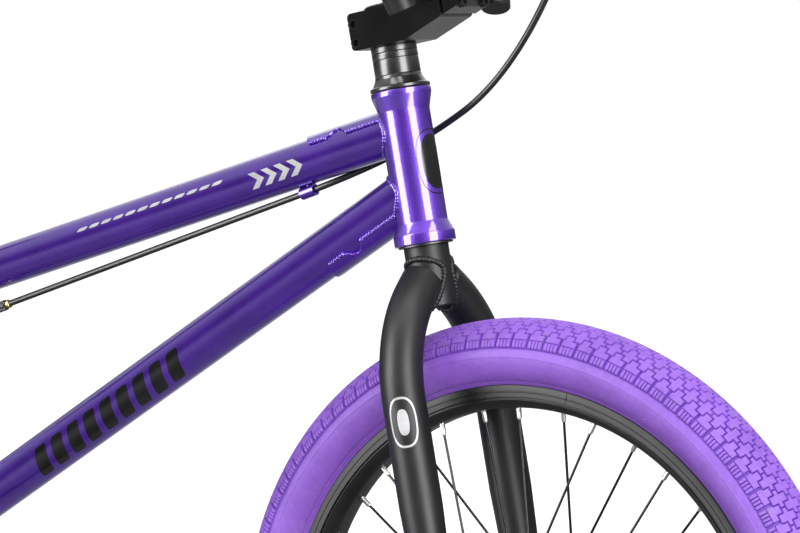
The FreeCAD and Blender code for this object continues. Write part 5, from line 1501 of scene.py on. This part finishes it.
# -------------------------------------------------------------- studio and camera
scene = bpy.context.scene
floor_mesh = bpy.data.meshes.new("studio_floor")
FLOOR = 60.0
floor_mesh.from_pydata([(-FLOOR, -FLOOR, 0), (FLOOR, -FLOOR, 0), (FLOOR, FLOOR, 0), (-FLOOR, FLOOR, 0)], [],
                       [(0, 1, 2, 3)])
floor_paint = material("pale studio floor", (0.90, 0.90, 0.90), 0.9)
n = Nodes(floor_paint)
n.set("Base Color", n.ramp(n.noise(1.5, 2.0), [(0.3, (0.89, 0.89, 0.89)), (0.7, (0.91, 0.91, 0.91))]))
n.shader.inputs["Emission Color"].default_value = (1, 1, 1, 1)
n.shader.inputs["Emission Strength"].default_value = 0.30
floor_mesh.materials.append(floor_paint)
floor = new_object("studio_floor", floor_mesh)
floor.visible_diffuse = False
floor.visible_glossy = False
floor.visible_shadow = False

world = bpy.data.worlds.new("studio")
scene.world = world
world.use_nodes = True
tree = world.node_tree
tree.nodes.clear()
output = tree.nodes.new("ShaderNodeOutputWorld")
sight = tree.nodes.new("ShaderNodeLightPath")


def sky(colour, strength):
    """One plain backdrop colour."""
    made = tree.nodes.new("ShaderNodeBackground")
    made.inputs["Color"].default_value = (*colour, 1)
    made.inputs["Strength"].default_value = strength
    return made.outputs[0]


def sky_mix(share, first, second):
    made = tree.nodes.new("ShaderNodeMixShader")
    tree.links.new(share, made.inputs["Fac"])
    tree.links.new(first, made.inputs[1])
    tree.links.new(second, made.inputs[2])
    return made.outputs[0]


def sky_by_height(stops):
    """A backdrop whose brightness goes by how high one looks, from straight down to straight up."""
    split = tree.nodes.new("ShaderNodeSeparateXYZ")
    tree.links.new(tree.nodes.new("ShaderNodeTexCoord").outputs["Generated"], split.inputs[0])
    level = tree.nodes.new("ShaderNodeMapRange")
    level.inputs["From Min"].default_value = -1.0
    tree.links.new(split.outputs["Z"], level.inputs["Value"])
    ramp = tree.nodes.new("ShaderNodeValToRGB")
    elements = ramp.color_ramp.elements
    while len(elements) < len(stops):
        elements.new(0.5)
    for element, (height, value) in zip(elements, stops):
        element.position = (height + 1) / 2
        element.color = (value, value, value, 1)
    tree.links.new(level.outputs[0], ramp.inputs["Fac"])
    made = tree.nodes.new("ShaderNodeBackground")
    tree.links.new(ramp.outputs["Color"], made.inputs["Color"])
    return made.outputs[0]


# The room is white to the eye, bright overhead to matt surfaces, and dim in polished ones away from the
# softboxes.
matt_room = sky_by_height([(-1.0, 0.48), (-0.2, 0.56), (0.1, 0.66), (0.6, 0.92), (1.0, 0.95)])
polished_room = sky_by_height([(-1.0, 0.30), (-0.7, 0.28), (-0.45, 0.6), (-0.3, 0.7), (-0.12, 0.14),
                               (0.05, 0.06), (0.2, 0.28), (0.45, 0.9), (0.75, 0.7), (1.0, 0.3)])
room = sky_mix(sight.outputs["Is Glossy Ray"], matt_room, polished_room)
room = sky_mix(sight.outputs["Is Camera Ray"], room, sky((1, 1, 1), 1.0))
tree.links.new(room, output.inputs["Surface"])
scene.view_settings.view_transform = "Standard"

CAMERA_AT = Vector((1.77315, -2.12253, 0.74430))
CAMERA_RIGHT = Vector((0.83058, 0.55690, 0.0))
CAMERA_BACK = Vector((0.55524, -0.82810, 0.07724))


def softbox(name, target, azimuth, distance, height, size, power, matt=True, polished=True):
    """A rectangular soft light at an azimuth about the target, for matt surfaces, polished ones or both."""
    light = bpy.data.lights.new(name, "AREA")
    light.shape = "RECTANGLE"
    light.size, light.size_y = size
    light.energy = power
    obj = new_object(name, light)
    place = Vector((target.x + distance * math.cos(math.radians(azimuth)),
                    target.y + distance * math.sin(math.radians(azimuth)), height))
    obj.location = place
    obj.rotation_euler = (target - place).to_track_quat("-Z", "Y").to_euler()
    obj.visible_diffuse = matt
    obj.visible_glossy = polished
    return obj


HEAD_TARGET = HEAD_BOTTOM * MM
softbox("softbox_key", HEAD_TARGET, -40, 2.6, 1.4, (2.4, 2.0), 34, polished=False)
softbox("strip_right", HEAD_TARGET, -22, 2.6, 1.05, (1.5, 2.6), 170, matt=False)
strip_left = softbox("strip_left", HEAD_TARGET, -124, 2.6, 1.05, (1.5, 2.6), 170, matt=False)
softbox("strip_top", HEAD_TARGET, -60, 0.9, 3.0, (3.4, 0.6), 75, matt=False)
softbox("softbox_behind", HEAD_TARGET, 120, 3.2, 1.8, (3.0, 2.0), 15)

# Light linking keeps the left strip off the stem, the two long tubes and their marks.
shaded = bpy.data.collections.new("clear_of_left_strip")
for name in ("stem", "stem_faceplate", "stem_hardware"):
    shaded.objects.link(frame["nodes"][name])
for name in ("top_tube_body", "down_tube_body", "frame_decals_dark", "frame_decals_pale"):
    shaded.objects.link(bpy.data.objects[name])
for entry in shaded.collection_objects:
    entry.light_linking.link_state = "EXCLUDE"
strip_left.light_linking.receiver_collection = shaded

camera = bpy.data.cameras.new("photo_camera")
camera.lens = 154.85
camera.sensor_width = 36.0
camera.clip_start = 0.05
camera.clip_end = 200.0
camera_obj = new_object("photo_camera", camera)
camera_up = CAMERA_BACK.cross(CAMERA_RIGHT)
camera_obj.matrix_world = Matrix((
    (CAMERA_RIGHT.x, camera_up.x, CAMERA_BACK.x, CAMERA_AT.x),
    (CAMERA_RIGHT.y, camera_up.y, CAMERA_BACK.y, CAMERA_AT.y),
    (CAMERA_RIGHT.z, camera_up.z, CAMERA_BACK.z, CAMERA_AT.z),
    (0, 0, 0, 1)))
scene.camera = camera_obj
